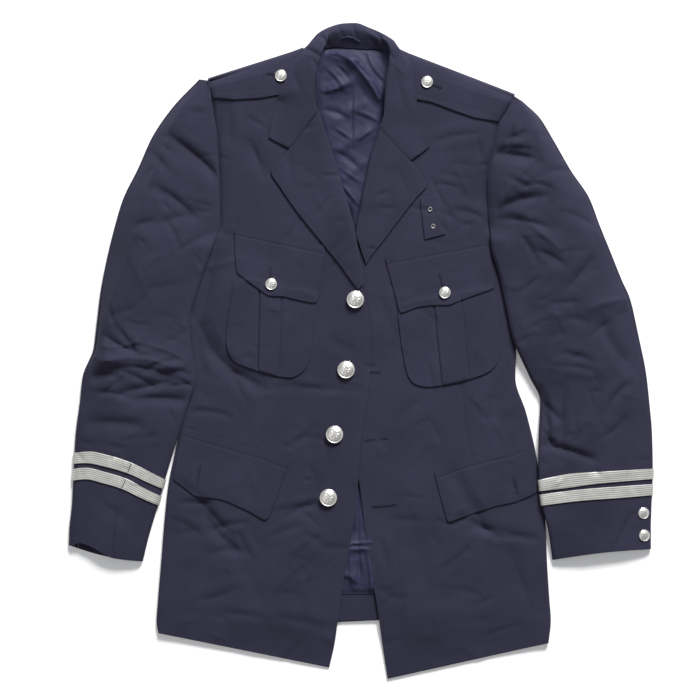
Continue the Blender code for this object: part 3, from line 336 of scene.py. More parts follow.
# Creases: start, end, how far the middle bows out to the left, half width and height, below zero for a trough
SLEEVE_CREASES = (
    # x0, y0, x1, y1, bow, width, height
    (-248, 278, -186, 226, 3, 6, -2.6),
    (-264, 269, -233, 254, 0, 9, -1.6),
    (-215, 312, -205, 310, 0, 4, -0.9),
    (-264, 212, -219, 178, 2, 5, -1.6),
    (-259, 205, -251, 184, 0, 4, -1.0),
    (-290, 163, -272, 169, 0, 4, -1.2),
    (-254, 167, -224, 176, 2, 5, -1.1),
    (-330, 19, -292, -1, -2, 4, -2.2),
    (-315, 31, -292, -1, 0, 4, -1.4),
    (-336, -14, -241, -22, 9, 6, 2.4),
    (-335, -24, -246, -32, 8, 5, -2.6),
    (-345, -33, -319, -32, 4, 4, -1.6),
    (-309, -53, -253, -40, 0, 5, -1.5),
    (-248, -45, -223, -42, 0, 3, -1.2),
    (-241, -19, -218, -27, 0, 3, 1.0),
    (-238, -35, -216, -48, 0, 3, -1.1),
    (-292, -61, -229, -63, 2, 6, -1.4),
    (-348, -92, -292, -95, 2, 7, -1.2),
    (-339, -58, -306, -33, 0, 5, -1.2),
    (-363, -117, -346, -121, 0, 4, -0.8),
    (-340, -193, -301, -219, 0, 8, -0.8),
    (-236, 132, -203, 150, 0, 4, -1.2),
    (-275, 80, -229, 90, 0, 9, -0.9),
    (-301, 132, -275, 67, 0, 9, 0.9),
    (172, 257, 223, 249, 2, 7, -3.0),
    (180, 262, 218, 262, 2, 4, -1.4),
    (189, 275, 214, 284, 0, 5, -1.4),
    (226, 249, 180, 187, -6, 7, 2.0),
    (180, 186, 237, 200, 5, 5, -2.0),
    (206, 211, 245, 211, 6, 4, -1.4),
    (241, 232, 275, 232, 3, 5, -1.2),
    (230, 195, 214, 173, 0, 4, -1.1),
    (181, 172, 241, 160, 3, 4, -1.7),
    (214, 168, 256, 132, 0, 6, 1.4),
    (273, 87, 296, 117, 0, 5, -1.5),
    (231, 67, 245, 100, 0, 5, -1.3),
    (245, 61, 278, 65, 0, 5, -1.2),
    (207, 78, 230, 96, 0, 4, -1.2),
    (297, 56, 349, 67, 3, 7, 1.6),
    (228, 304, 230, 254, 0, 7, 1.2),
    (309, 161, 297, 117, 0, 8, 1.1),
    (215, 28, 249, 42, 2, 5, -1.3),
    (246, 18, 262, 25, 0, 4, -1.0),
    (257, 42, 292, 39, 2, 5, -1.2),
    (254, -19, 305, -28, 3, 5, -1.6),
    (313, 34, 339, -10, -3, 6, -1.3),
    (348, -41, 321, -79, -6, 5, -1.6),
    (293, -95, 275, -132, -4, 6, -1.4),
    (237, -66, 254, -86, 0, 3.5, -1.8),
    (237, -114, 253, -117, 0, 3, -1.4),
    (235, -121, 298, -139, 3, 4, -2.0),
    (260, -43, 259, -125, 0, 6, -1.5),
    (278, -167, 362, -154, 0, 14, 0.6),
    (310, -213, 310, -258, 0, 10, -0.6),
    (230, -50, 244, -115, 2, 5, -2.4),
    (246, -57, 247, -112, 0, 3, 1.4),
    (232, -96, 253, -128, 0, 2.6, -1.5),
    (352, -209, 326, -261, 0, 4, -0.9),
    (-330, 66, -318, 30, 0, 3, -1.0),
    (-300, -8, -262, 2, 2, 3, 1.2),
    (-282, -25, -240, -10, 2, 3, -1.4),
    (-352, -8, -322, -14, 0, 3, 1.0),
    (-240, 306, -266, 236, 2, 6, 1.5),
    (-263, 244, -293, 162, -2, 6, 1.5),
    (-289, 174, -317, 74, 2, 6, 1.5),
    (-313, 86, -326, 36, 0, 6, 1.1),
    (-278, 262, -252, 236, 2, 6, -1.8),
    (-254, 170, -236, 132, 3, 4, -1.1),
    (-338, 6, -286, 14, -4, 5, 1.6),
    (-292, 12, -226, -12, 3, 5, 1.5),
    (-262, -30, -222, -22, 0, 4, -1.8),
    (-318, -22, -268, -46, 2, 4, -1.4),
    (-346, -52, -300, -60, 2, 4, -1.3),
    (190, 226, 214, 214, 0, 4, -1.4),
    (262, 180, 296, 166, 2, 5, -1.2),
    (228, 130, 262, 112, 2, 5, -1.4),
    (196, 290, 190, 262, 0, 4, -1.6),
    (206, 150, 226, 118, 2, 4, -1.4),
    (300, 20, 322, 38, 2, 4, -1.3),
    (262, -2, 300, -14, 2, 4, -1.4),
    (340, -88, 312, -112, 2, 5, -1.3),
)
# The seam that shows on the right forearm
SLEEVE_SEAMS = (
    # x0, y0, x1, y1, bow, width, height
    (-269, -46, -279, -82, 0, 1.6, -0.8),
    (-279, -82, -297, -142, 0, 1.6, -0.8),
    (-297, -142, -311, -178, 0, 1.6, -0.9),
    (-311, -178, -319, -202, 0, 1.6, -0.9),
    (-319, -202, -325, -262, 0, 2.0, -1.3),
)
BODY_CREASES = (
    # x0, y0, x1, y1, bow, width, height
    (-225, 55, -198, 5, 2, 9, -2.4),
    (-198, 5, -132, -45, -5, 8, -2.6),
    (-168, -27, -153, -63, 0, 6, -1.6),
    (-224, -76, -170, -85, 3, 3.5, -1.5),
    (-161, -63, -160, -78, 0, 3, -0.9),
    (-119, -48, 5, -52, 2, 5, -0.7),
    (-91, -121, -60, -94, -3, 5, -1.2),
    (-238, -128, -228, -136, 0, 2.5, -1.0),
    (-205, -209, -164, -255, -4, 7, -2.2),
    (-253, -216, -212, -234, 2, 5, -1.4),
    (-114, -240, -78, -226, 2, 5, -1.3),
    (-118, -210, -54, -200, 3, 5, -1.2),
    (-72, -237, -54, -245, 0, 4, -1.0),
    (-54, -253, -20, -255, 0, 4, -0.9),
    (-53, -253, -116, -309, 0, 8, 1.1),
    (-209, -322, -158, -305, -3, 6, -1.2),
    (-176, -286, -172, -296, 0, 3, -0.8),
    (-184, -340, -128, -346, 2, 6, -1.2),
    (-108, -346, -40, -360, 2, 6, -1.1),
    (-94, -398, -81, -379, 0, 4, -1.0),
    (-185, 320, -184, 275, 0, 6, -1.0),
    (-171, 320, -170, 275, 0, 6, -0.9),
    (-149, 275, -124, 233, 0, 8, -1.0),
    (-236, -323, -228, -271, 0, 12, -0.8),
    (-145, -154, -129, -193, 0, 14, 0.7),
    (-80, -284, -67, -336, 0, 14, 0.8),
    (-158, -271, -129, -323, 0, 12, -0.7),
    (-41, 15, -12, 2, 0, 7, -0.7),
    (-194, 158, -168, 150, 0, 6, -0.9),
    (192, -26, 172, -83, -3, 8, -2.0),
    (120, -159, 159, -229, 2, 7, -1.7),
    (133, -229, 232, -243, 3, 7, -1.7),
    (102, -284, 150, -243, -3, 6, -1.2),
    (25, -245, 33, -281, 0, 5, -0.9),
    (44, -218, 77, -219, 0, 4, -0.9),
    (163, -305, 165, -245, 0, 9, -1.0),
    (191, -255, 220, -333, 0, 9, -1.1),
    (58, -286, 58, -362, 0, 9, 0.9),
    (155, -327, 170, -318, 0, 4, -0.8),
    (89, -89, 105, -121, 0, 9, -0.9),
    (94, 272, 154, 282, 3, 6, -1.4),
    (152, 273, 155, 249, 0, 4, -1.0),
    (154, 242, 162, 242, 0, 3, -0.8),
    (123, 184, 158, 173, 2, 5, -1.3),
    (103, 182, 118, 173, 0, 3, -0.8),
    (89, -323, 107, -388, 0, 14, 0.8),
    (206, -271, 180, -375, 0, 14, -0.8),
    (44, -89, 76, -63, 0, 9, -0.7),
    (24, 67, 40, 28, 0, 9, -0.7),
    (122, 236, 141, 203, 0, 8, 0.8),
    (-190, 128, -214, 18, 0, 11, -4.0),
    (-214, 20, -204, -30, 0, 6, -1.6),
    (-196, 104, -206, 58, 0, 6, -1.4),
    (-214, 18, -212, -40, 0, 9, -2.2),
    (176, 240, 164, 190, 0, 8, -1.6),
    (-232, -196, -196, -196, 0, 5, -2.0),
    (-206, -196, -172, -232, -2, 6, -2.2),
    (-196, -232, -150, -222, 2, 4, -1.4),
    (-240, -168, -206, -192, 2, 5, -1.6),
    (-192, -262, -150, -262, 4, 6, -1.8),
    (-240, -236, -212, -232, 0, 4, -1.2),
    (-160, -236, -146, -262, 0, 4, -1.4),
    (-96, -214, -60, -196, 2, 4, -1.6),
    (-60, -236, -92, -262, 0, 6, 1.6),
    (-238, -86, -206, -78, 2, 4, -1.4),
    (126, -214, 176, -240, 2, 5, -1.8),
    (176, -240, 236, -246, 2, 4, -1.4),
    (150, -196, 120, -226, 0, 4, -1.4),
    (76, -150, 92, -118, 0, 5, -1.0),
    (164, 176, 158, 120, 0, 7, -1.4),
)
LINING_CREASES = (
    # x0, y0, x1, y1, bow, width, height
    (-41, 388, -16, 378, 2, 4, 1.8),
    (-16, 378, -7, 369, 0, 4, 2.0),
    (-7, 369, 22, 327, 2, 4, 2.4),
    (-10, 382, 11, 359, 0, 4, 1.8),
    (11, 359, 27, 333, 0, 3, 1.4),
    (-12, 342, -12, 262, 0, 1.2, -0.8),
    (-43, 366, -21, 337, 2, 4, 1.6),
    (-51, 337, -17, 347, -2, 4, 1.4),
    (-47, 314, -19, 303, 2, 4, -1.2),
    (-7, 311, 22, 298, 2, 5, 1.5),
    (-34, 290, -12, 275, 0, 4, 1.2),
    (-4, 275, 14, 288, 0, 4, 1.3),
    (-33, 259, -7, 241, 2, 4, -1.0),
    (-21, 233, -2, 220, 0, 4, 1.0),
    (-24, 215, -4, 190, 0, 4, 1.2),
    (-16, 190, -12, 163, 0, 3, -0.8),
    (-4, -161, -4, -257, 0, 1.2, -0.8),
    (-3, -260, -3, -301, 0, 1.5, -1.2),
    (10, -270, 16, -318, 0, 4, 0.8),
    (-23, -287, -4, -303, 2, 4, 1.0),
    (-28, -316, 19, -316, 0, 2, -0.8),
    (-25, -331, 22, -330, 0, 2, -0.8),
    (1, -219, 14, -252, 0, 5, 0.8),
    (-21, -193, -12, -245, 0, 5, -0.6),
    (-20, -257, 19, -257, 0, 3, 0.8),
    (-26, -253, 18, -249, 2, 4, 1.8),
    (6, -258, 12, -312, 2, 4, 1.8),
    (-14, -262, -9, -310, -2, 4, 1.6),
    (-28, -290, -8, -300, 2, 4, 1.4),
    (-30, 372, -14, 356, 2, 4, 1.6),
    (8, 386, 30, 352, -3, 4, 1.8),
)
LAPEL_CREASES = (
    # x0, y0, x1, y1, bow, width, height
    (-94, 257, -94, 232, 0, 5, -0.8),
    (-38, 127, -20, 154, 0, 4, -0.7),
    (-67, 210, -41, 177, 0, 14, 0.5),
    (-80, 242, -56, 223, 0, 8, -0.4),
    (50, 236, 57, 210, 0, 6, -0.6),
    (31, 210, 24, 177, 0, 8, 0.5),
    (-3, 421, 0, 405, 0, 2, -0.9),
)
COLLAR_CREASES = (
    # x0, y0, x1, y1, bow, width, height
    (-73, 392, -47, 376, 2, 3.5, -1.4),
    (-52, 409, -40, 384, 2, 3, -1.5),
    (-64, 380, -50, 358, 0, 3.5, -1.0),
    (-88, 362, -76, 330, 0, 5, -0.7),
    (8, 421, 30, 398, 2, 3, -1.5),
    (24, 411, 41, 379, -2, 3.5, -1.4),
    (-12, 424, -7, 409, 0, 2.5, -1.0),
    (-30, 421, -24, 408, 0, 2.5, -0.9),
    (13, 405, 25, 390, 0, 3, -1.2),
    (47, 353, 55, 314, 0, 5, -0.7),
    (40, 372, 58, 356, 0, 3.5, 0.8),
)
# Sewn darts down each front, from the pocket's foot to the flap
DARTS = (
    # x0, y0, x1, y1, bow, width, height
    (-127, -29, -126, -63, 0, 1.4, -0.6),
    (-126, -63, -131, -125, 0, 1.4, -0.6),
    (130, -41, 134, -89, 0, 1.4, -0.6),
    (134, -89, 142, -136, 0, 1.4, -0.6),
)


def smooth(value):
    """0 to 1 with flat ends."""
    t = np.clip(value, 0.0, 1.0)
    return t * t * (3 - 2 * t)


def bell(distance, width):
    """A smooth hump: one in the middle and about a third at its width."""
    return np.exp(-((distance / width) ** 2))


def curve(keys, values, at):
    """A monotone cubic through the values, so a rail never overshoots its rows."""
    keys = np.asarray(keys, float)
    values = np.asarray(values, float)
    at = np.clip(np.asarray(at, float), keys[0], keys[-1])
    step = np.diff(keys)
    slope = np.diff(values) / step
    tangent = np.zeros(len(keys))
    tangent[0], tangent[-1] = slope[0], slope[-1]
    for i in range(1, len(keys) - 1):
        if slope[i - 1] * slope[i] > 0:
            a = 2 * step[i] + step[i - 1]
            b = step[i] + 2 * step[i - 1]
            tangent[i] = (a + b) / (a / slope[i - 1] + b / slope[i])
    k = np.clip(np.searchsorted(keys, at, side="right") - 1, 0, len(step) - 1)
    t = (at - keys[k]) / step[k]
    h = step[k]
    return (
        (2 * t**3 - 3 * t**2 + 1) * values[k]
        + (t**3 - 2 * t**2 + t) * h * tangent[k]
        + (3 * t**2 - 2 * t**3) * values[k + 1]
        + (t**3 - t**2) * h * tangent[k + 1]
    )


def columns(table, at):
    """Every column of a table after its row number, read at fractional rows."""
    rows = np.asarray(table, float)
    return [curve(rows[:, 0], rows[:, c], at) for c in range(1, rows.shape[1])]


def line_distance(x, y, points):
    """Distance from a place to a bent line, in the plane."""
    best = np.full(np.shape(x), 1e9)
    for (ax, ay), (bx, by) in zip(points, points[1:]):
        dx, dy = bx - ax, by - ay
        t = np.clip(((x - ax) * dx + (y - ay) * dy) / (dx * dx + dy * dy), 0, 1)
        best = np.minimum(best, np.hypot(x - ax - t * dx, y - ay - t * dy))
    return best


ROLL_RIGHT = [(row[1], row[2]) for row in LAPEL_RIGHT_ROWS[:7]]
ROLL_LEFT = [(row[1], row[2]) for row in LAPEL_LEFT_ROWS[:6]]
CROSSING = [(-12, 165), (-3, 126), (2, 90)]
CENTRE_FRONT = [(2, 90), (8, 20), (2, -60), (-4, -130), (-6, -180)]
# Soft troughs and ridges: start, end, half width and depth, below zero for a trough
BODY_FOLDS = (
    # x0, y0, x1, y1, width, height
    (-225, 55, -195, 5, 15, -2.2),
    (-195, 5, -135, -45, 14, -1.8),
    (-205, -210, -165, -255, 14, -1.6),
    (-120, -240, -75, -225, 12, 1.2),
    (-150, -345, -60, -355, 16, 1.2),
    (-215, -320, -160, -305, 16, 1.3),
    (120, -160, 160, -230, 13, -1.6),
    (130, -230, 225, -242, 14, 1.3),
    (100, -285, 150, -245, 14, 1.2),
    (190, -15, 172, -80, 12, -1.5),
    (58, -275, 62, -365, 16, 1.2),
    (-150, 275, -124, 233, 14, -1.2),
    (-178, 320, -175, 280, 9, -1.4),
    (124, 190, 158, 178, 12, 1.2),
    (96, 272, 150, 282, 12, 1.2),
)
SLEEVE_FOLDS = (
    # x0, y0, x1, y1, width, height
    (-248, 278, -187, 228, 12, -3.0),
    (-266, 212, -219, 178, 11, -1.8),
    (-290, 163, -224, 176, 12, -2.0),
    (-330, 18, -292, 0, 10, -3.5),
    (-336, -14, -241, -22, 9, 3.2),
    (-345, -33, -320, -28, 7, -2.6),
    (-309, -53, -254, -40, 8, -2.6),
    (-348, -94, -292, -96, 10, -1.8),
    (-292, -62, -229, -64, 9, -2.0),
    (172, 257, 223, 249, 14, -3.2),
    (180, 187, 238, 204, 10, -2.6),
    (225, 248, 180, 187, 10, 2.4),
    (182, 172, 241, 160, 10, -2.0),
    (214, 168, 255, 132, 10, 1.8),
    (273, 87, 296, 117, 10, -2.2),
    (231, 66, 245, 100, 10, 1.8),
    (297, 56, 349, 66, 10, 2.2),
    (215, 28, 249, 42, 9, 2.0),
    (253, -19, 305, -28, 9, 2.0),
    (313, 34, 339, -10, 10, -2.2),
    (348, -41, 345, -70, 10, 2.0),
    (293, -95, 275, -132, 11, 1.8),
    (237, -66, 253, -85, 8, -2.0),
    (236, -121, 298, -139, 8, -2.4),
)


def fold_height(x, y, folds):
    """The sum of broad soft folds at a place."""
    total = np.zeros(np.shape(x))
    for x0, y0, x1, y1, width, height in folds:
        away = line_distance(x, y, [(x0, y0), (x1, y1)])
        total = total + height * bell(away, width)
    return total


def base_height(x, y):
    """Top of the body cloth inside its edges."""
    chest = CHEST_RISE * smooth((y + 60) / 160)
    side = np.where(x < 0, np.abs(x + 190), np.abs(x - 175))
    pad = SHOULDER_RISE * bell(side, 70) * smooth((y - 180) / 110)
    hem = -smooth((-y - 330) / 75) * (BODY_HEIGHT - BODY_WALL - 1.2)
    return BODY_HEIGHT + chest + pad + hem + fold_height(x, y, BODY_FOLDS)


def bump(x, y, line, width):
    """A hump along a bent line."""
    return bell(line_distance(x, y, line), width)


def left_height(x, y):
    roll = ROLL_RISE * bump(x, y, ROLL_LEFT, 26) * smooth((y - 165) / 30)
    return base_height(x, y) + roll - 0.4


def right_height(x, y):
    roll = ROLL_RISE * bump(x, y, ROLL_RIGHT, 26)
    over = OVERLAP_RISE * bump(x, y, CENTRE_FRONT + CROSSING, 48)
    cross = CROSSING_RISE * bump(x, y, CROSSING, 34)
    gap = -1.0 * smooth((-y - 215) / 60) * bump(x, y, [(-20, -270), (-40, -410)], 40)
    return base_height(x, y) + roll + over + cross + gap


NECK_LINING = (
    ((-53, 394), (-20, 397), (-8, 396.6), (6, 395.4), (18, 395.6), (36, 391)),
    (
        (36, 391), (38, 370), (36, 345), (33, 320), (24, 285), (17, 262), (9, 225), (3, 200), (-3, 172),
        (-6, 150),
    ),
    ((-16, 150), (-6, 150)),
    (
        (-53, 394), (-55, 375), (-59, 360), (-59, 330), (-55, 305), (-45, 265), (-35, 232), (-27, 203),
        (-19, 170), (-16, 150),
    ),
)
HEM_LINING = (
    ((-38, -135), (30, -135)),
    ((30, -135), (32, -230), (40, -316)),
    ((-50, -316), (40, -316)),
    ((-38, -135), (-40, -230), (-50, -316)),
)
HEM_FACING = (
    ((-52, -317), (42, -317)),
    ((42, -317), (44, -349)),
    ((-52, -351), (44, -349)),
    ((-52, -317), (-52, -351)),
)
LINING_FOLDS = (
    # x0, y0, x1, y1, width, height
    (-41, 385, -16, 378, 6, 2.2),
    (-16, 378, 22, 327, 6, 2.2),
    (-10, 380, 27, 333, 5, 1.6),
    (-40, 340, -12, 352, 6, 1.8),
    (-34, 300, 4, 322, 7, 1.6),
    (-30, 262, 8, 285, 7, 1.4),
    (-22, 225, 2, 245, 6, 1.2),
    (-14, -180, 2, -240, 6, 1.0),
    (-20, -258, 12, -258, 4, 0.9),
    (0, -270, 12, -305, 6, 1.0),
)


STRAPS = {
    # side: shoulder edge from the sleeve to the collar, then the lower edge the same way
    "right": (
        ((-198.5, 350.8), (-92, 385), (-76, 391)),
        ((-193, 328.5), (-164, 326), (-132, 328), (-104, 333), (-80, 337)),
    ),
    "left": (
        ((197.5, 330.6), (62, 383.5), (50, 389)),
        ((178.5, 297.6), (147, 302.5), (120, 312), (91, 323), (71, 327), (58, 331)),
    ),
}
# The front turned down over the shoulder: distance back from its rim and share of the full height
SHOULDER_FOLD = ((0.0, 0.0), (0.6, 0.45), (2.6, 0.76), (7.0, 1.0))
SHOULDER_STEPS = (0.0, 0.2, 0.5, 1.0, 1.8, 2.8, 4.4)
# Height of its rim over the floor, and what its full height loses at the fold
SHOULDER_FOOT = 0.3
SHOULDER_DROP = 0.7
# The strap over that fold: distance out from its edge, share of the full height and lift
STRAP_FOLD = ((4.0, 0.0, 0.3), (3.6, 0.45, 0.8), (0.8, 0.8, 2.4))


SLEEVES = {
    "right": (SLEEVE_RIGHT_ROWS, LIFTS_RIGHT, CUFF_SAG_RIGHT, right_height),
    "left": (SLEEVE_LEFT_ROWS, LIFTS_LEFT, CUFF_SAG_LEFT, left_height),
}


def facing(top):
    """Unit normals of a grid of points, turned so that most of them look up."""
    normal = np.cross(np.gradient(top, axis=1), np.gradient(top, axis=0))
    normal /= np.linalg.norm(normal, axis=2, keepdims=True) + 1e-9
    turned = 1 if normal[:, :, 2].sum() > 0 else -1
    return normal * turned, turned


def along(points, count):
    """Places spaced evenly along a bent line."""
    points = np.asarray(points, float)
    length = np.r_[0, np.cumsum(np.hypot(*np.diff(points, axis=0).T))]
    at = np.linspace(0, length[-1], count)
    return np.stack([np.interp(at, length, points[:, 0]), np.interp(at, length, points[:, 1])], axis=1)


def patch(sides, rows, cols):
    """Places filling four bent sides: top and bottom run left to right, left and right run down."""
    top, right, bottom, left = (
        along(side, count) for side, count in zip(sides, (cols, rows, cols, rows))
    )
    u = np.linspace(0, 1, cols)[None, :, None]
    v = np.linspace(0, 1, rows)[:, None, None]
    ruled = (1 - v) * top[None] + v * bottom[None] + (1 - u) * left[:, None] + u * right[:, None]
    corners = (
        (1 - u) * (1 - v) * top[0]
        + u * (1 - v) * top[-1]
        + (1 - u) * v * bottom[0]
        + u * v * bottom[-1]
    )
    return ruled - corners


def steps_in(count):
    """How many steps each of a row of points stands in from the nearer end."""
    return np.minimum(np.arange(count), np.arange(count)[::-1])


def side_points(table, sign):
    """Places down one side of the back, inside the front's folded edge."""
    side_x, side_y, _, _, closed = columns(table, np.linspace(0.8, 18, 24))
    inset = 1.1 + 13.2 * smooth(closed * 2.2)
    return list(zip(side_x + sign * inset, side_y))


# Every crease's gain in height and width, how far its form leans and how sharp its bottom is
CREASE_GAIN = 1.7
CREASE_WIDTH = 0.72
CREASE_LEAN = 0.6
CREASE_POWER = 1.05
# Height of the low ridge beside a trough, as a share of its depth
RIDGE_SHARE = 0.16
# Way to the side of a crease that slopes gently; the other side is steep
GENTLE_SIDE = (0.24, 0.97)


def crease_height(x, y, table):
    """Sharp-bottomed soft creases, each fading at its ends, with a low ridge beside a trough."""
    x, y = np.asarray(x, float), np.asarray(y, float)
    total = np.zeros(x.shape)
    for x0, y0, x1, y1, bow, width, height in table:
        width = width * CREASE_WIDTH if width > 2 else width
        reach = 4.5 * width + abs(bow)
        near = (x > min(x0, x1) - reach) & (x < max(x0, x1) + reach)
        near &= (y > min(y0, y1) - reach) & (y < max(y0, y1) + reach)
        if not near.any():
            continue
        px, py = x[near], y[near]
        length = math.hypot(x1 - x0, y1 - y0)
        t = np.linspace(0, 1, 9)
        line_x = x0 + (x1 - x0) * t - (y1 - y0) / length * bow * 4 * t * (1 - t)
        line_y = y0 + (y1 - y0) * t + (x1 - x0) / length * bow * 4 * t * (1 - t)
        away = np.full(px.shape, 1e9)
        share, toward = np.zeros(px.shape), np.zeros(px.shape)
        for k in range(8):
            dx, dy = line_x[k + 1] - line_x[k], line_y[k + 1] - line_y[k]
            s = np.clip(((px - line_x[k]) * dx + (py - line_y[k]) * dy) / (dx * dx + dy * dy), 0, 1)
            off_x, off_y = px - line_x[k] - s * dx, py - line_y[k] - s * dy
            apart = np.hypot(off_x, off_y)
            share = np.where(apart < away, (k + s) / 8, share)
            toward = np.where(apart < away, off_x * GENTLE_SIDE[0] + off_y * GENTLE_SIDE[1], toward)
            away = np.minimum(away, apart)
        fade = np.sin(math.pi * (0.1 + 0.8 * share)) ** 0.7
        height = height * CREASE_GAIN
        lean = CREASE_LEAN * np.tanh(toward / (0.5 * width)) * math.copysign(1, height)
        reach = width * (1.25 + lean)
        shape = height * np.exp(-((away / reach) ** CREASE_POWER))
        shape += RIDGE_SHARE * abs(height) * bell(away - 2.6 * width, 1.2 * width)
        total[near] += shape * fade
    return total


def uneven(x, y, size, seed):
    """Gentle unevenness of laid cloth, about -1 to 1."""
    x, y = np.asarray(x, float), np.asarray(y, float)
    flat = [noise.noise(Vector((a / size, b / size, seed))) for a, b in zip(x.ravel(), y.ravel())]
    return np.reshape(flat, x.shape)


def scatter(seed, count, box, longest, lean):
    """Small creases of uneven length, lean and depth over an area, the same on every run."""
    pick = random.Random(seed)
    rows = []
    for _ in range(count):
        x, y = pick.uniform(box[0], box[2]), pick.uniform(box[1], box[3])
        length = longest * (0.2 + 0.8 * pick.random() ** 2)
        turn = math.radians(pick.gauss(lean, 26) + (90 if pick.random() < 0.25 else 0))
        dx, dy = length * math.cos(turn), length * math.sin(turn)
        height = pick.choice((-1, -1, 1)) * pick.uniform(0.35, 0.85)
        rows.append((x, y, x + dx, y + dy, pick.gauss(0, 0.07) * length, pick.uniform(2.4, 4.6), height))
    return rows


SMALL_CREASES = (
    scatter(5, 70, (-245, -380, -20, 320), 60, 12)
    + scatter(6, 70, (0, -390, 235, 300), 60, -8)
    + scatter(7, 60, (-365, -190, -200, 290), 48, -14)
    + scatter(8, 70, (175, -190, 365, 280), 48, 12)
)


def fine_cloth(x, y):
    """What lies on the body's form: creases, darts, wrinkles and slow waves."""
    low = crease_height(x, y, BODY_CREASES) + crease_height(x, y, DARTS)
    low += crease_height(x, y, SMALL_CREASES)
    return low + 0.6 * uneven(x, y, 55, 3) + 0.16 * uneven(x, y, 17, 5)


def fine_left(x, y):
    return left_height(x, y) + fine_cloth(x, y)


def fine_right(x, y):
    return right_height(x, y) + fine_cloth(x, y)


def mesh_of(name, bm):
    """The mesh that was drawn in bm, which is then let go."""
    mesh = bpy.data.meshes.new(name)
    bm.to_mesh(mesh)
    bm.free()
    return mesh


def placed(name, mesh, look):
    """An object of the mesh in the scene, with its finish."""
    mesh.shade_smooth()
    mesh.materials.clear()
    mesh.materials.append(finish_of(look))
    made = bpy.data.objects.new(name, mesh)
    bpy.context.scene.collection.objects.link(made)
    return made


def woven(name, top, thick, look, edge):
    """A piece of cloth from a grid of outer points in millimetres, with its wall and its weave's map."""
    rows, cols = top.shape[:2]
    bm = bmesh.new()
    bmesh.ops.create_grid(bm, x_segments=cols - 1, y_segments=rows - 1, size=1)
    for vert, place in zip(bm.verts, top.reshape(-1, 3)):
        vert.co = Vector(place) * MM
    across = np.linalg.norm(np.diff(top, axis=1), axis=2).cumsum(axis=1)
    down = np.linalg.norm(np.diff(top, axis=0), axis=2).cumsum(axis=0)
    u = np.pad(across, ((0, 0), (1, 0))) * MM
    v = np.pad(down, ((1, 0), (0, 0))) * MM
    u -= u[:, cols // 2][:, None]
    v -= v[rows // 2][None]
    weave = bm.loops.layers.uv.new("weave")
    bm.verts.index_update()
    flat_u, flat_v = u.ravel(), v.ravel()
    for face in bm.faces:
        for loop in face.loops:
            loop[weave].uv = (flat_u[loop.vert.index], flat_v[loop.vert.index])
    if facing(top)[1] < 0:
        bmesh.ops.reverse_faces(bm, faces=bm.faces[:])
    made = placed(name, mesh_of(name, bm), look)
    shell = made.modifiers.new("wall", "SOLIDIFY")
    shell.thickness = thick * MM
    shell.offset = -1
    if edge:
        soft = made.modifiers.new("edge", "BEVEL")
        soft.width = edge * MM
        soft.segments = 2
        soft.limit_method = "ANGLE"
        soft.angle_limit = math.radians(60)
    return made


def settle(made, nodes):
    """Puts a piece on the jacket in place of its solids, which it hides."""
    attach(made, "root")
    if nodes:
        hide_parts(*nodes)


class Rest:
    """What a piece lies on: the highest of some finished pieces under a place."""

    def __init__(self, *made):
        bpy.context.view_layer.update()
        graph = bpy.context.evaluated_depsgraph_get()
        self.trees = [BVHTree.FromObject(piece, graph) for piece in made]

    def top(self, x, y):
        best = 0.0
        for tree in self.trees:
            hit = tree.ray_cast(Vector((x * MM, y * MM, 1)), Vector((0, 0, -1)))[0]
            if hit:
                best = max(best, hit.z / MM)
        return best

    def over(self, places):
        return np.array([[self.top(x, y) for x, y in row] for row in places])


def lie_on(places, rest, lift, blur=10):
    """Heights for a patch that lies on finished pieces, softened and never below them."""
    heights = rest.over(places)
    soft = heights.copy()
    for _ in range(blur):
        padded = np.pad(soft, 1, mode="edge")
        near = (padded[:-2, 1:-1] + padded[2:, 1:-1] + padded[1:-1, :-2] + padded[1:-1, 2:]) / 4
        soft = np.maximum(heights, (soft + near) / 2)
    return np.dstack([places, soft + lift])


# How far the cloth dips into the armhole seam
SEAM_DEPTH = 1.0
# A front's first columns: the second one's way in beneath a side fold, and their spread at an open edge
SECOND_TUCK = 7.0
OPEN_REACH = 4.8
# The front's tab beneath the armhole seam: how far its columns go out and drop
TAB_OUT = (-6.0, -0.8)
TAB_DROP = (4.5, 1.0)
# How far the last column of a top sleeve drops at the armhole
SLEEVE_TAB_DROP = 3.0
# The least height of those tabs over their own wall
TAB_CLEARANCE = 0.3
# Reach of a side fold's rounding and of the armhole's valley
FOLD_REACH = 16
VALLEY_REACH = 9
# How far the upper lip of the right cuff draws back, so that its mouth shows
MOUTH = 8.5
# How far the cloth of both sides sinks towards the armhole seam below the shoulder
VALLEY = 4.5
# How much the crown of each sleeve is pressed into a ridge
RIDGE = {"right": 1.0, "left": 0.0}


def span(first_x, first_y, last_x, last_y):
    """Sections from one line to another: start, unit way across and width."""
    start = np.stack([first_x, first_y], axis=1)
    across = np.stack([last_x, last_y], axis=1) - start
    width = np.linalg.norm(across, axis=1)[:, None]
    return start, across / width, width


def on_span(start, across, far):
    """X and Y of places at distances along each section."""
    return start[:, :1] + across[:, :1] * far, start[:, 1:] + across[:, 1:] * far


def nose_section(count):
    """The rounded edge of folded cloth: share in and height, from beneath to the top."""
    turns = np.radians(np.linspace(-90, 90, count))
    return EDGE_RADIUS * (1 - np.cos(turns)), EDGE_RADIUS * (1 + np.sin(turns))


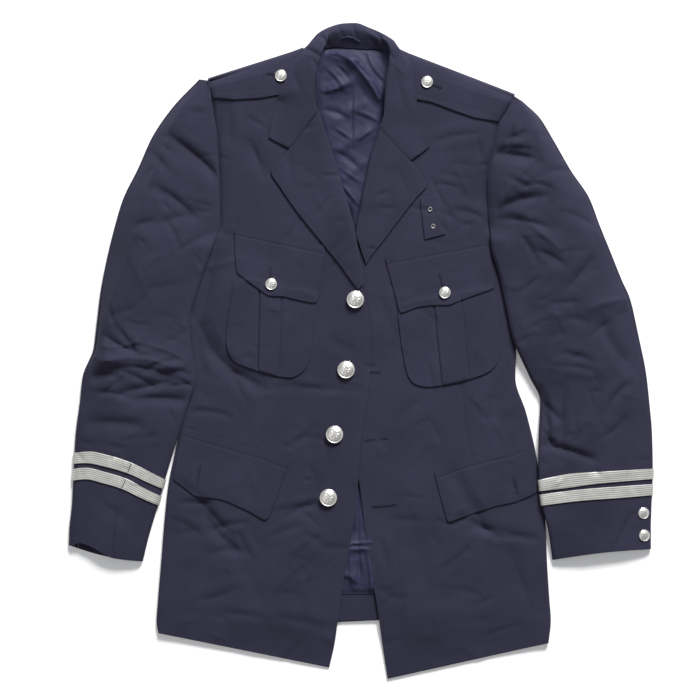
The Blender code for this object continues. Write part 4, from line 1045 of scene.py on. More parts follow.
def front_grid(table, height, rows, cols):
    """Rows run down the front. Columns run from under the side fold, round it and across to the edge."""
    at = np.linspace(0, table[-1][0], rows)
    *ends, closed = columns(table, at)
    start, across, width = span(*ends)
    shut = smooth((closed - 0.1) / 0.8)[:, None]
    inward, up = nose_section(9)
    inward, up = np.r_[EDGE_TUCK, SECOND_TUCK, inward], np.r_[0.0, 0.0, up]
    open_in = np.linspace(0, OPEN_REACH, len(inward))
    open_at = open_in.copy()
    open_at[:2] = TAB_OUT
    nose_in = open_at[None] * (1 - shut) + inward[None] * shut
    first = nose_in[:, -1:]
    steps = np.linspace(0, 1, cols + 1)[None, 1:]
    rest_in = first + (width - first) * steps
    along_in = np.concatenate([nose_in, rest_in], axis=1)
    flat_in = np.concatenate([np.repeat(open_in[None], rows, axis=0), rest_in], axis=1)
    valley = VALLEY * smooth(at / 2.5)[:, None] * np.exp(-flat_in / VALLEY_REACH) * (1 - shut)
    full = height(*on_span(start, across, flat_in)) - valley
    rise = 1 - np.exp(-np.maximum(flat_in - EDGE_RADIUS, 0) / FOLD_REACH)
    folded = 2 * EDGE_RADIUS + (full - 2 * EDGE_RADIUS) * rise
    folded[:, : len(up)] = up[None]
    turn_down = np.zeros(full.shape[1])
    turn_down[: len(up)] = SEAM_DEPTH * (1 - smooth(np.linspace(0, 1, len(up))) ** 0.6)
    turn_down[:2] += TAB_DROP
    open_z = np.maximum(full - turn_down[None], BODY_WALL + TAB_CLEARANCE)
    z = open_z * (1 - shut) + folded * shut
    return np.dstack([*on_span(start, across, along_in), z])


def fall_over_shoulder(grid):
    """The first rows turn down over the shoulder to the surface, where the back panel meets them."""
    first = grid[0].copy()
    down = grid[0] - grid[3]
    down[:, 2] = 0
    down /= np.linalg.norm(down, axis=1, keepdims=True) + 1e-9
    extra = []
    for back in SHOULDER_STEPS:
        share = curve(*zip(*SHOULDER_FOLD), back)
        row = first - down * back
        row[:, 2] = SHOULDER_FOOT + (first[:, 2] - SHOULDER_DROP) * share
        extra.append(row)
    keep = 1 + int(np.argmax(np.linalg.norm(grid[:, 4, :2] - grid[0, 4, :2], axis=1) > 8))
    return np.concatenate([np.array(extra), grid[keep:]])


def sleeve_frame(side, at):
    """Both panels' sections: where they start, the way across, width, how closed, sag and inner lift."""
    table, lifts, sag, _ = SLEEVES[side]
    *ends, _, _, closed = columns(table, at)
    start, across, width = span(*ends)
    lift = curve(*zip(*lifts), at)[:, None]
    shut = smooth((closed - 0.1) / 0.8)[:, None]
    bow = (sag * smooth((at - 13) / 3))[:, None]
    return start, across, width, shut, bow, lift


def sleeve_grid(side, at, cols):
    """Outer points of a sleeve's top panel, with rows from the shoulder to the cuff."""
    start, across, width, shut, bow, lift = sleeve_frame(side, at)
    table, _, _, body_height = SLEEVES[side]
    _, _, in_x, in_y, crown, crown_at, _ = columns(table, at)
    r = EDGE_RADIUS
    body_end = body_height(in_x, in_y)[:, None]
    body_end = body_end - VALLEY * smooth(at / 2.5)[:, None]
    end_height = body_end * (1 - shut) + (lift + 2 * r) * shut
    ridge = (smooth(at / 1.5) * (1 - smooth((at - 8) / 2)) * RIDGE[side])[:, None]

    def height(a):
        base = 2 * r + (end_height - 2 * r) * smooth((a / width - 0.45) / 0.55)
        peak = crown_at[:, None] * width
        rising = np.sin(0.5 * math.pi * np.clip(a / peak, 0, 1)) ** 0.8
        rising = rising * (1 - ridge) + np.clip(a / peak, 0, 1) * ridge
        past = np.clip((a - peak) / (width - peak), 0, 1)
        falling = np.cos(0.5 * math.pi * past) ** 0.75 * (1 - 0.5 * ridge) + (1 - past) * 0.5 * ridge
        shape = np.where(a < peak, rising, falling)
        x, y = on_span(start, across, a)
        edge = smooth(a / 14) * smooth((width - a) / 14)
        body = base + np.maximum(crown[:, None] - base, 0) * shape
        body = body + fold_height(x, y, SLEEVE_FOLDS) * edge
        near = smooth(a / 7) * smooth((width - a) / 7)
        wave = 0.5 * uneven(x, y, 45, 11) + 0.22 * uneven(x, y, 15, 13)
        wave += crease_height(x, y, SMALL_CREASES)
        body = body + (crease_height(x, y, SLEEVE_CREASES) + wave) * near
        return body + crease_height(x, y, SLEEVE_SEAMS)

    nose_in, nose_up = nose_section(11)
    inner_top = width - r * shut - SEAM_TURN * (1 - shut)
    steps = np.linspace(0, 1, cols + 1)[None, 1:]
    mid_in = r + (inner_top - r) * steps
    mid_up = height(mid_in)
    turns = np.radians(np.linspace(90, -90, 12))[1:]
    share = np.linspace(0, 1, 12)[None, 1:]
    end_in = width - r * (1 - np.cos(turns))[None]
    end_up = lift + r * (1 + np.sin(turns))[None]
    open_in = width - SEAM_TURN * (1 - share)
    last_in = end_in * shut + open_in * (1 - shut)
    last_up = end_up * shut + (height(open_in) - SEAM_DEPTH * share**2) * (1 - shut)
    tuck_in = width - EDGE_TUCK * shut + 0.6 * (1 - shut)
    least_tab = np.maximum(height(width) - SEAM_DEPTH - SLEEVE_TAB_DROP, SLEEVE_WALL + TAB_CLEARANCE)
    tuck_up = lift * shut + least_tab * (1 - shut)
    ones = np.ones_like(width)
    a = np.concatenate([EDGE_TUCK * ones, nose_in[None] * ones, mid_in, last_in, tuck_in], axis=1)
    z = np.concatenate([0 * ones, nose_up[None] * ones, mid_up, last_up, tuck_up], axis=1)
    x, y = on_span(start, across, a)
    y = y + bow * np.sin(math.pi * a / width)
    if side == "right":
        upper = smooth((z - r) / r) * smooth((0.62 - a / width) / 0.36) * smooth((a - 1) / 16)
        y = y + MOUTH * upper * smooth((at - 15) / 1.0)[:, None]
    return np.dstack([x, y, z])


def under_sleeve_grid(side, at, cols):
    """Outer points of a sleeve's under panel, with rows from the shoulder to the cuff."""
    start, across, width, shut, bow, lift = sleeve_frame(side, at)
    near = EDGE_TUCK + SEAM_GAP
    far = width - UNDER_INSET - EDGE_TUCK * np.minimum(1, shut * 2.5)
    a = near + (far - near) * np.linspace(0, 1, cols)[None]
    rise = lift * shut * smooth((a - (width - 48)) / 32)
    x, y = on_span(start, across, a)
    y = y + bow * np.sin(math.pi * a / width)
    return np.dstack([x, y, rise + UNDER_WALL])


def lapel_grid(table, front, lift, rows, cols):
    """Outer points of a lapel, from beneath, round the roll and out to its edge."""
    start, across, width = span(*columns(table, np.linspace(0, table[-1][0], rows)))
    near = front(*on_span(start, across, 5))
    high, low = near + lift, near - BODY_WALL - lift
    r = (high - low) / 2
    turns = np.radians(np.linspace(-90, 90, 11))[None]
    ones = np.ones_like(width)
    nose_in, nose_up = r * (1 - np.cos(turns)), low + r * (1 + np.sin(turns))
    a_mid = r + (width - r) * np.linspace(0, 1, cols + 1)[None, 1:]
    x, y = on_span(start, across, a_mid)
    mid_up = front(x, y) + lift + crease_height(x, y, LAPEL_CREASES)
    # the pressed edge lies a little closer than the middle of the lapel
    mid_up += 0.5 * smooth((width - a_mid) / 12) * smooth((a_mid - r) / 10)
    a = np.concatenate([np.minimum(LAPEL_TUCK * ones, width * 0.7), nose_in, a_mid], axis=1)
    z = np.concatenate([low, nose_up, mid_up], axis=1)
    return np.dstack([*on_span(start, across, a), z])


def stitch_groove(places, line, depth=0.35, width=0.9):
    """A line of topstitching pressed into the cloth, a little deeper at each stitch."""
    x, y = places[:, :, 0], places[:, :, 1]
    away = line_distance(x, y, line)
    (x0, y0), (x1, y1) = line[0], line[-1]
    along_it = (x - x0) * (x1 - x0) + (y - y0) * (y1 - y0)
    along_it /= math.hypot(x1 - x0, y1 - y0)
    beat = 0.75 + 0.25 * np.cos(2 * math.pi * along_it / STITCH_PITCH)
    return -depth * beat * bell(away, width)


def new_finish(name):
    made = bpy.data.materials.new(name)
    made.use_nodes = True
    tree = made.node_tree
    return made, tree, tree.nodes["Principled BSDF"]


def node(tree, kind, **values):
    made = tree.nodes.new(kind)
    for key, value in values.items():
        if key in made.inputs:
            made.inputs[key].default_value = value
        else:
            setattr(made, key, value)
    return made


def colour_ramp(tree, source, dark, light, start=0.3, stop=0.7):
    ramp = node(tree, "ShaderNodeValToRGB")
    for end, place, colour in zip(ramp.color_ramp.elements, (start, stop), (dark, light)):
        end.position = place
        end.color = (*colour, 1)
    tree.links.new(source, ramp.inputs["Fac"])
    return ramp.outputs["Color"]


def add_bump(tree, shader, layers):
    """Bump layers, each a height output, its strength and its depth in metres."""
    before = None
    for height, strength, distance in layers:
        bumped = node(tree, "ShaderNodeBump", Strength=strength, Distance=distance)
        tree.links.new(height, bumped.inputs["Height"])
        if before:
            tree.links.new(before, bumped.inputs["Normal"])
        before = bumped.outputs["Normal"]
    tree.links.new(before, shader.inputs["Normal"])


def object_place(tree):
    """Places in metres from the object's own middle point."""
    return node(tree, "ShaderNodeTexCoord").outputs["Object"]


def weave_place(tree, turned=0):
    """Places along the cloth's own map, in metres, turned by an angle in degrees."""
    weave = node(tree, "ShaderNodeUVMap", uv_map="weave").outputs["UV"]
    if not turned:
        return weave
    turn = node(tree, "ShaderNodeMapping")
    turn.inputs["Rotation"].default_value = (0, 0, math.radians(turned))
    tree.links.new(weave, turn.inputs["Vector"])
    return turn.outputs["Vector"]


def textured(tree, kind, place, **values):
    """The strength of a texture at a place."""
    made = node(tree, "ShaderNodeTex" + kind, **values)
    tree.links.new(place, made.inputs["Vector"])
    return made.outputs["Fac"]


def multiplied(tree, first, second, share):
    """One colour darkened or lightened by another, by a share."""
    mixed = node(tree, "ShaderNodeMix", data_type="RGBA", blend_type="MULTIPLY")
    mixed.inputs["Factor"].default_value = share
    tree.links.new(first, mixed.inputs["A"])
    tree.links.new(second, mixed.inputs["B"])
    return mixed.outputs["Result"]


def tune(shader, values):
    """Sets named inputs of a node to plain values."""
    for name, value in values.items():
        shader.inputs[name].default_value = value


def wool_finish(name, colour, lighter):
    """Twill wool: a fine diagonal, a short nap and slow changes of shade."""
    made, tree, shader = new_finish(name)
    slow = textured(tree, "Noise", object_place(tree), Scale=16.0, Detail=3.0, Roughness=0.6)
    nap = textured(tree, "Noise", object_place(tree), Scale=620.0, Detail=3.0, Roughness=0.7)
    twill = textured(tree, "Wave", weave_place(tree, -32), Scale=210.0, Distortion=0.6, Detail=1.0)
    base = colour_ramp(tree, slow, colour, lighter, 0.32, 0.72)
    speck = colour_ramp(tree, nap, (0.62, 0.62, 0.64), (1.2, 1.2, 1.18), 0.34, 0.68)
    tree.links.new(multiplied(tree, base, speck, 0.42), shader.inputs["Base Color"])
    tune(shader, {
        "Roughness": 0.86,
        "Specular IOR Level": 0.16,
        "Sheen Weight": 0.06,
        "Sheen Roughness": 0.45,
        "Sheen Tint": (0.55, 0.56, 0.78, 1),
    })
    add_bump(tree, shader, ((twill, 0.35, 0.00012), (nap, 0.5, 0.00022)))
    return made


def satin_finish(name, colour, lighter):
    """Lining: a smooth close weave with a soft shine."""
    made, tree, shader = new_finish(name)
    slow = textured(tree, "Noise", object_place(tree), Scale=45.0, Detail=4.0, Roughness=0.6)
    warp = textured(tree, "Wave", weave_place(tree), Scale=420.0, Distortion=1.2, Detail=2.0)
    tree.links.new(colour_ramp(tree, slow, colour, lighter), shader.inputs["Base Color"])
    tune(shader, {
        "Roughness": 0.62,
        "Specular IOR Level": 0.22,
        "Sheen Weight": 0.1,
        "Sheen Tint": (0.6, 0.6, 0.9, 1),
    })
    add_bump(tree, shader, ((slow, 0.25, 0.0012), (warp, 0.25, 0.0001)))
    return made


def braid_finish(name, colour, lighter):
    """Metal lace: flat ribs that run along it, crossed by small stitches."""
    made, tree, shader = new_finish(name)
    ribs = textured(tree, "Wave", weave_place(tree, 90), Scale=118.0, Distortion=0.4, Detail=1.0)
    crossing = textured(tree, "Wave", weave_place(tree), Scale=230.0, Distortion=0.8, Detail=1.0)
    worn = textured(tree, "Noise", object_place(tree), Scale=90.0, Detail=3.0)
    base = colour_ramp(tree, worn, colour, lighter)
    rib_shade = colour_ramp(tree, ribs, (0.45, 0.45, 0.44), (1, 1, 1), 0.1, 0.55)
    tree.links.new(multiplied(tree, base, rib_shade, 0.6), shader.inputs["Base Color"])
    tune(shader, {"Roughness": 0.45, "Metallic": 0.35, "Specular IOR Level": 0.6})
    add_bump(tree, shader, ((ribs, 0.6, 0.0003), (crossing, 0.4, 0.00015)))
    return made


def metal_finish(name, colour, lighter, rough):
    """Polished metal with small dents and a little wear."""
    made, tree, shader = new_finish(name)
    worn = textured(tree, "Noise", object_place(tree), Scale=320.0, Detail=4.0, Roughness=0.6)
    tree.links.new(colour_ramp(tree, worn, colour, lighter), shader.inputs["Base Color"])
    rough_map = node(tree, "ShaderNodeMapRange")
    tune(rough_map, {"To Min": rough - 0.08, "To Max": rough + 0.1})
    tree.links.new(worn, rough_map.inputs["Value"])
    tree.links.new(rough_map.outputs["Result"], shader.inputs["Roughness"])
    tune(shader, {"Metallic": 1.0})
    add_bump(tree, shader, ((worn, 0.12, 0.0002),))
    return made


def floor_finish(name, colour):
    """Plain pale paper, a little bright of itself so that it stays white in the picture."""
    made, tree, shader = new_finish(name)
    slow = textured(tree, "Noise", object_place(tree), Scale=2.0, Detail=2.0)
    lighter = tuple(min(1.0, value * 1.02) for value in colour)
    tree.links.new(colour_ramp(tree, slow, colour, lighter), shader.inputs["Base Color"])
    tune(shader, {"Roughness": 0.9, "Emission Color": (1, 1, 1, 1), "Emission Strength": 0.12})
    return made


def finish_of(look):
    """The material of a finish, made from the panel's colours when it is first wanted."""
    found = bpy.data.materials.get("jacket_" + look)
    if found:
        return found
    tints = bpy.context.scene.jacket_colours
    name = "jacket_" + look

    def pair(colour, gain):
        return tuple(colour), tuple(value * gain for value in colour)

    if look == "wool":
        return wool_finish(name, *pair(tints.wool, 1.3))
    # The same wool with a lower light end, so a little darker: painted shade for the pieces that lie beneath
    # others, the back, the under sleeves and the hem facing
    if look == "painted_shade_wool":
        return wool_finish(name, *pair(tints.wool, 1.15))
    if look == "thread":
        return wool_finish(name, *pair(tints.thread, 1.2))
    if look == "satin":
        return satin_finish(name, *pair(tints.lining, 1.35))
    if look == "braid":
        return braid_finish(name, *pair(tints.braid, 1.25))
    if look == "eyelet":
        return metal_finish(name, *pair(tints.eyelet, 1.3), 0.45)
    return metal_finish(name, *pair(tints.button, 1.08), 0.38)


def cloth(name, top, thick, look, edge=0.35):
    """A woven piece that stands for the solid of its own name."""
    made = woven(name + "_cloth", top, thick, look, edge)
    settle(made, (name,))
    return made


def find(*names):
    return [bpy.data.objects[name + "_cloth"] for name in names]


class JacketSizes(bpy.types.PropertyGroup):
    """How finely the cloth is made, and what the camera sees."""

    body_rows: bpy.props.IntProperty(name="Body rows", description="Rows down each front", default=290)
    body_columns: bpy.props.IntProperty(
        name="Body columns", description="Columns over each front", default=92
    )
    sleeve_rows: bpy.props.IntProperty(name="Sleeve rows", description="Rows down each sleeve", default=250)
    sleeve_columns: bpy.props.IntProperty(
        name="Sleeve columns", description="Columns over each sleeve", default=70
    )
    camera_height: bpy.props.FloatProperty(
        name="Camera height", description="Height of the camera over the floor", default=4.2, unit="LENGTH"
    )
    view_width: bpy.props.FloatProperty(
        name="View width", description="Width of floor that the camera sees", default=0.91, unit="LENGTH"
    )


def colour_property(name, description, default):
    return bpy.props.FloatVectorProperty(
        name=name, description=description, subtype="COLOR", size=3, min=0, max=1, default=default
    )


class JacketColours(bpy.types.PropertyGroup):
    """Colours of the cloth and trim."""

    wool: colour_property("Wool", "Outer cloth", (0.0238, 0.0226, 0.0425))
    thread: colour_property("Thread", "Sewing thread and buttonholes", (0.018, 0.018, 0.034))
    lining: colour_property("Lining", "Satin lining", (0.0195, 0.0188, 0.047))
    braid: colour_property("Braid", "Sleeve lace", (0.50, 0.50, 0.47))
    button: colour_property("Buttons", "Plated buttons", (0.9, 0.88, 0.84))
    eyelet: colour_property("Eyelets", "Badge eyelets", (0.35, 0.35, 0.34))
    floor: colour_property("Floor", "Floor under the jacket", (0.93, 0.93, 0.93))


class JACKET_OT_fronts(bpy.types.Operator):
    """Makes the right front, the left front under it and the back"""

    bl_idname = "jacket.fronts"
    bl_label = "Fronts and back"

    def execute(self, context):
        sizes = context.scene.jacket_sizes
        for side, table, height in (
            ("right", FRONT_RIGHT_ROWS, fine_right),
            ("left", FRONT_LEFT_ROWS, fine_left),
        ):
            grid = fall_over_shoulder(front_grid(table, height, sizes.body_rows, sizes.body_columns))
            cloth("front_" + side, grid, BODY_WALL, "wool", edge=0.5)
        left = side_points(FRONT_RIGHT_ROWS, 1)
        right = side_points(FRONT_LEFT_ROWS, -1)
        left[-1] = (left[-1][0], -352)
        right[-1] = (right[-1][0], -352)
        left = [(-192.5, 346)] + left
        right = [(194, 328)] + right
        top = [left[0], (-72, 387), (-43, 390.5), (0, 386.5), (30, 387), (50, 383), right[0]]
        bottom = [left[-1], (-31, -352), (23, -349.5), right[-1]]
        places = patch((top, right, bottom, left), 80, 50)
        grid = np.dstack([places, np.full(places.shape[:2], BODY_WALL)])
        # The back takes the slightly darker wool, which is painted shade
        cloth("back", grid, BODY_WALL, "painted_shade_wool", edge=0)
        return {"FINISHED"}


class JACKET_OT_sleeves(bpy.types.Operator):
    """Makes both sleeves, each from a top and an under panel"""

    bl_idname = "jacket.sleeves"
    bl_label = "Sleeves"

    def execute(self, context):
        sizes = context.scene.jacket_sizes
        for side, (table, _, _, _) in SLEEVES.items():
            at = np.linspace(0, table[-1][0], sizes.sleeve_rows)
            cloth("top_sleeve_" + side, sleeve_grid(side, at, sizes.sleeve_columns), SLEEVE_WALL, "wool", 0.5)
            under = under_sleeve_grid(side, np.linspace(0, table[-1][0], 90), 30)
            # The under panel takes the slightly darker wool, which is painted shade
            cloth("under_sleeve_" + side, under, UNDER_WALL, "painted_shade_wool", edge=0)
        return {"FINISHED"}


class JACKET_OT_lapels(bpy.types.Operator):
    """Makes the lapels, turned over at the roll line"""

    bl_idname = "jacket.lapels"
    bl_label = "Lapels"

    def execute(self, context):
        lift = REST_GAP + LAPEL_GAP + LAPEL_WALL
        for side, table, height, rows in (
            ("right", LAPEL_RIGHT_ROWS, fine_right, 130),
            ("left", LAPEL_LEFT_ROWS, fine_left, 100),
        ):
            grid = lapel_grid(table, height, lift, rows, 46)
            cloth("lapel_" + side, grid, LAPEL_WALL, "wool", edge=0.5)
        return {"FINISHED"}


class JACKET_OT_straps(bpy.types.Operator):
    """Makes the shoulder straps"""

    bl_idname = "jacket.straps"
    bl_label = "Shoulder straps"

    def execute(self, context):
        for side, (upper, lower) in STRAPS.items():
            first, last = along(upper, 60), along(lower, 60)
            over = first - last
            over /= np.linalg.norm(over, axis=1, keepdims=True)
            rest = Rest(*find("front_" + side))
            full = np.array([rest.top(x, y) for x, y in first - over * 7.5])
            fold = np.asarray(STRAP_FOLD)
            rows = []
            for t in np.linspace(0, 2, 9):
                out, share, lift = (curve((0, 1, 2), fold[:, k], t) for k in range(3))
                rows.append(np.c_[first + over * out, full * share + lift])
            for share in np.linspace(0.06, 1.0, 26):
                places = first * (1 - share) + last * share
                heights = [rest.top(x, y) + REST_GAP + STRAP_GAP + PATCH_WALL for x, y in places]
                rows.append(np.c_[places, heights])
            grid = np.array(rows)
            grid[9:, :, 2] += stitch_groove(grid[9:], [tuple(last[0] + (0, 6)), tuple(last[-1] + (0, 6))])
            cloth("shoulder_strap_" + side, grid, PATCH_WALL, "wool")
        return {"FINISHED"}


# The leaf lies on the cloth from this station outward, and only in front of this line across the neck
LEAF_START = 1.5
COLLAR_BACK = 392


class JACKET_OT_collar(bpy.types.Operator):
    """Makes the collar, its stand and its turned leaf"""

    bl_idname = "jacket.collar"
    bl_label = "Collar"

    def execute(self, context):
        rows = 190
        steps = np.r_[np.linspace(0, 0.8, 12)[:-1], np.linspace(0.8, 1.4, 22)[:-1], np.linspace(1.4, 3, 34)]
        at = np.linspace(0, COLLAR_STATIONS[-1][0], rows)
        table = np.asarray(COLLAR_STATIONS, float)
        knots = np.zeros((rows, 4, 3))
        for knot in range(4):
            for axis in range(3):
                values = table[:, 1 + knot * 3 + axis]
                if knot == 0 and axis < 2:
                    knots[:, knot, axis] = np.interp(at, table[:, 0], values)
                else:
                    knots[:, knot, axis] = curve(table[:, 0], values, at)
        grid = np.zeros((rows, len(steps), 3))
        for i in range(rows):
            for axis in range(3):
                grid[i, :, axis] = curve((0, 1, 2, 3), knots[i, :, axis], steps)
        rest = Rest(*find("front_right", "front_left", "shoulder_strap_right", "shoulder_strap_left"))
        low = rest.over(grid[:, :, :2]) + REST_GAP + COLLAR_WALL
        lying = (steps[None] >= LEAF_START) & (grid[:, :, 1] < COLLAR_BACK)
        grid[:, :, 2] = np.where(lying, np.maximum(grid[:, :, 2], low), grid[:, :, 2])
        x, y = grid[:, :, 0], grid[:, :, 1]
        soft = smooth(steps / 0.5)[None] * smooth((3 - steps) / 0.4)[None]
        grid[:, :, 2] += (0.7 * uneven(x, y, 26, 41) + crease_height(x, y, COLLAR_CREASES)) * soft
        cloth("collar", grid, COLLAR_WALL, "wool", edge=0.5)
        return {"FINISHED"}


class JACKET_OT_linings(bpy.types.Operator):
    """Makes the lining and facing that show at the neck and the hem, and the hanging loop"""

    bl_idname = "jacket.linings"
    bl_label = "Linings"

    def execute(self, context):
        for name, sides, rows, cols, look, thick in (
            ("neck_lining", NECK_LINING, 130, 54, "satin", LINING_WALL),
            ("hem_lining", HEM_LINING, 104, 50, "satin", LINING_WALL),
            # The hem facing takes the slightly darker wool, which is painted shade
            ("hem_facing", HEM_FACING, 26, 56, "painted_shade_wool", 1.2),
        ):
            places = patch(sides, rows, cols)
            x, y = places[:, :, 0], places[:, :, 1]
            inside = np.minimum(steps_in(rows)[:, None], steps_in(cols)[None])
            rim = smooth(inside / 5)
            rise = np.zeros(rim.shape)
            if look != "painted_shade_wool":
                rise = fold_height(x, y, LINING_FOLDS) + crease_height(x, y, LINING_CREASES)
                rise += 0.35 * uneven(x, y, 14, 21) + 0.12 * uneven(x, y, 5, 23)
                rise = LINING_GAIN * rise + LINING_RISE
            heights = BODY_WALL + LINING_GAP + thick + np.maximum(rise, -0.25) * rim
            if name == "neck_lining":
                heights -= LINING_TUCK * np.clip(1 - np.arange(rows) / 9, 0, 1)[:, None]
                # its sides rise to the collar's seam
                side = np.minimum(x - x[:, :1], x[:, -1:] - x)
                heights += COLLAR_MEETING * smooth((y - 320) / 40) * bell(side, 6.5)
            cloth(name, np.dstack([places, heights]), thick, look, edge=0.2)
        collar = Rest(*find("collar"))
        route = along(((-25, 406), (-19, 407.5), (-12, 406.5), (-2, 401.5)), 24)
        points = [(x, y, collar.top(x, y) + CORD_RADIUS + 0.2) for x, y in route]
        loop = thread_line("hanger_loop_cord", points, CORD_RADIUS, "satin")
        settle(loop, ("hanger_loop",))
        return {"FINISHED"}


def thread_line(name, points, radius, look, closed=False):
    """A round thread or cord through points in millimetres, made a mesh in its place."""
    line = bpy.data.curves.new(name, "CURVE")
    line.dimensions = "3D"
    line.bevel_depth = radius * MM
    line.bevel_resolution = 2
    line.use_fill_caps = True
    spline = line.splines.new("POLY")
    spline.points.add(len(points) - 1)
    for point, place in zip(spline.points, points):
        point.co = (*(Vector(place) * MM), 1)
    spline.use_cyclic_u = closed
    shape = bpy.data.objects.new(name, line)
    bpy.context.scene.collection.objects.link(shape)
    bpy.context.view_layer.update()
    mesh = bpy.data.meshes.new_from_object(shape.evaluated_get(bpy.context.evaluated_depsgraph_get()))
    bpy.data.objects.remove(shape)
    return placed(name, mesh, look)


def soft_sides(sides, reach):
    """The four sides of a patch with their corners and bends rounded off."""
    counts = [max(8, int(np.hypot(*np.diff(np.asarray(side, float), axis=0).T).sum())) for side in sides]
    top, right, bottom, left = (along(side, count) for side, count in zip(sides, counts))
    ring = np.concatenate([top[:-1], right[:-1], bottom[:0:-1], left[:0:-1]])
    offsets = np.arange(-3 * reach, 3 * reach + 1)
    share = np.exp(-((offsets / reach) ** 2))
    share /= share.sum()
    ring = sum(part * np.roll(ring, step, axis=0) for part, step in zip(share, offsets))
    ring = np.concatenate([ring, ring[:1]])
    ends = np.cumsum([0] + [count - 1 for count in counts])
    pieces = [ring[a : b + 1] for a, b in zip(ends, ends[1:])]
    return pieces[0], pieces[1], pieces[2][::-1], pieces[3][::-1]


def pocket_grid(side, rest, rows, cols):
    """A patch pocket with a box pleat down its middle and stitching near its edge."""
    sides = soft_sides(PATCHES["breast_pocket_" + side], 8)
    places = patch(sides, rows, cols)
    grid = lie_on(places, rest, REST_GAP + PATCH_WALL)
    x, y = places[:, :, 0], places[:, :, 1]
    share = np.linspace(0, 1, rows)[:, None]
    (top_a, top_b), (low_a, low_b) = POCKET_PLEATS[side]
    start, stop = top_a + (low_a - top_a) * share, top_b + (low_b - top_b) * share
    pleat = smooth((x - start) / 4 + 0.5) * smooth((stop - x) / 4 + 0.5)
    below = smooth((share - 0.02) / 0.08) * smooth((1.02 - share) / 0.06)
    fold = 1.9 * bell(x - start, 1.2) + 1.4 * bell(x - stop, 1.2)
    grid[:, :, 2] += (PLEAT_RAISE * pleat - fold) * below
    grid[:, :, 2] -= 0.5 * (1 - smooth(share / 0.3))
    inset = steps_in(cols)[None] * (abs(sides[0][1][0] - sides[0][0][0]) / cols)
    inset = np.minimum(inset, (rows - 1 - np.arange(rows))[:, None] * 1.1 + 0 * inset)
    grid[:, :, 2] -= 0.65 * bell(inset - POCKET_STITCH, 1.1)
    grid[:, :, 2] += 0.25 * uneven(x, y, 22, 31)
    return grid


def flap_grid(name, rest, rows, cols):
    """A pocket flap, with its stitching along the top and a soft turned edge."""
    sides = soft_sides(PATCHES[name], 4)
    places = patch(sides, rows, cols)
    grid = lie_on(places, rest, REST_GAP + PATCH_WALL, blur=70)
    x, y = places[:, :, 0], places[:, :, 1]
    (x0, y0), (x1, y1) = sides[0][0], sides[0][-1]
    grid[:, :, 2] += stitch_groove(grid, [(px, py - FLAP_STITCH) for px, py in PATCHES[name][0]], 0.7, 1.1)
    row_step = math.hypot(x0 - sides[3][-1][0], y0 - sides[3][-1][1]) / rows
    rows_in = (rows - 1 - np.arange(rows))[:, None] * row_step
    cols_in = steps_in(cols)[None] * (math.hypot(x1 - x0, y1 - y0) / cols)
    rim = np.minimum(rows_in, cols_in)
    grid[:, :, 2] += 0.45 * smooth(rim / 9) + 0.22 * uneven(x, y, 20, 33) - 0.2
    return grid


BUTTONHOLES = {
    # name: carrying piece, start and end
    "front_hole_2": ("front_left", (12.4, -27), (24, -27)),
    "front_hole_3": ("front_left", (6, -115.5), (33.7, -112.8)),
    "front_hole_4": ("front_left", (14.6, -201.8), (44, -199.3)),
    "pocket_hole_right": ("breast_flap_right", (-118, 108), (-118, 97)),
    "pocket_hole_left": ("breast_flap_left", (101.5, 99), (105, 86)),
    "flap_hole_right": ("lower_flap_right", (-209, -148.7), (-212, -168.7)),
    "flap_hole_left": ("lower_flap_left", (197.4, -164.3), (202.6, -183.4)),
    "strap_hole_right": ("shoulder_strap_right", (-122, 360), (-112, 358.5)),
    "strap_hole_left": ("shoulder_strap_left", (103, 341.5), (93, 345)),
}


class JACKET_OT_pockets(bpy.types.Operator):
    """Makes the breast pockets, the flaps and the badge tab"""

    bl_idname = "jacket.pockets"
    bl_label = "Pockets, flaps and tab"

    def execute(self, context):
        for side in ("right", "left"):
            front = "front_" + side
            pocket = "breast_pocket_" + side
            grid = pocket_grid(side, Rest(*find(front)), 90, 124)
            cloth(pocket, grid, PATCH_WALL, "wool")
            flap = "breast_flap_" + side
            grid = flap_grid(flap, Rest(*find(front, pocket)), 68, 92)
            cloth(flap, grid, PATCH_WALL, "wool")
            lower = "lower_flap_" + side
            grid = flap_grid(lower, Rest(*find(front)), 60, 96)
            cloth(lower, grid, PATCH_WALL, "wool")
        a, b, c, d = TAB_CORNERS
        places = patch(((a, b), (b, c), (d, c), (a, d)), 50, 28)
        grid = lie_on(places, Rest(*find("front_left")), REST_GAP + PATCH_WALL)
        x, y = grid[:, :, 0], grid[:, :, 1]
        for px, py in EYELET_PLACES:
            grid[:, :, 2] -= 0.5 * bell(np.hypot(x - px, y - py), 3.4)
        cloth("badge_tab", grid, PATCH_WALL, "wool")
        return {"FINISHED"}


class JACKET_OT_braid(bpy.types.Operator):
    """Makes the two stripes of lace round each cuff"""

    bl_idname = "jacket.braid"
    bl_label = "Sleeve lace"

    def execute(self, context):
        steps = np.linspace(11.5, 15.6, 120)
        count = np.arange(len(steps))
        for side, stripes in LACE.items():
            top = sleeve_grid(side, steps, context.scene.jacket_sizes.sleeve_columns)[:, 3:-4]
            out = facing(top)[0]
            for name, (upper, lower) in stripes.items():
                rows = []
                for share in np.linspace(0, 1, 11):
                    row = []
                    for k in range(top.shape[1]):
                        x, y = top[:, k, 0], top[:, k, 1]
                        wanted = (1 - share) * curve(*zip(*upper), x) + share * curve(*zip(*lower), x)
                        place = np.interp(0, wanted - y, count)
                        row.append([np.interp(place, count, from_) for from_ in (*top[:, k].T, *out[:, k].T)])
                    rows.append(row)
                rows = np.array(rows)
                grid = rows[:, :, :3] + rows[:, :, 3:] * (LACE_GAP + LACE_WALL)
                grid[:, :, 2] = np.maximum(grid[:, :, 2], LACE_GAP + LACE_WALL)
                label = "lace_" + side + "_" + name
                cloth(label, grid, LACE_WALL, "braid", edge=0.3)
        return {"FINISHED"}


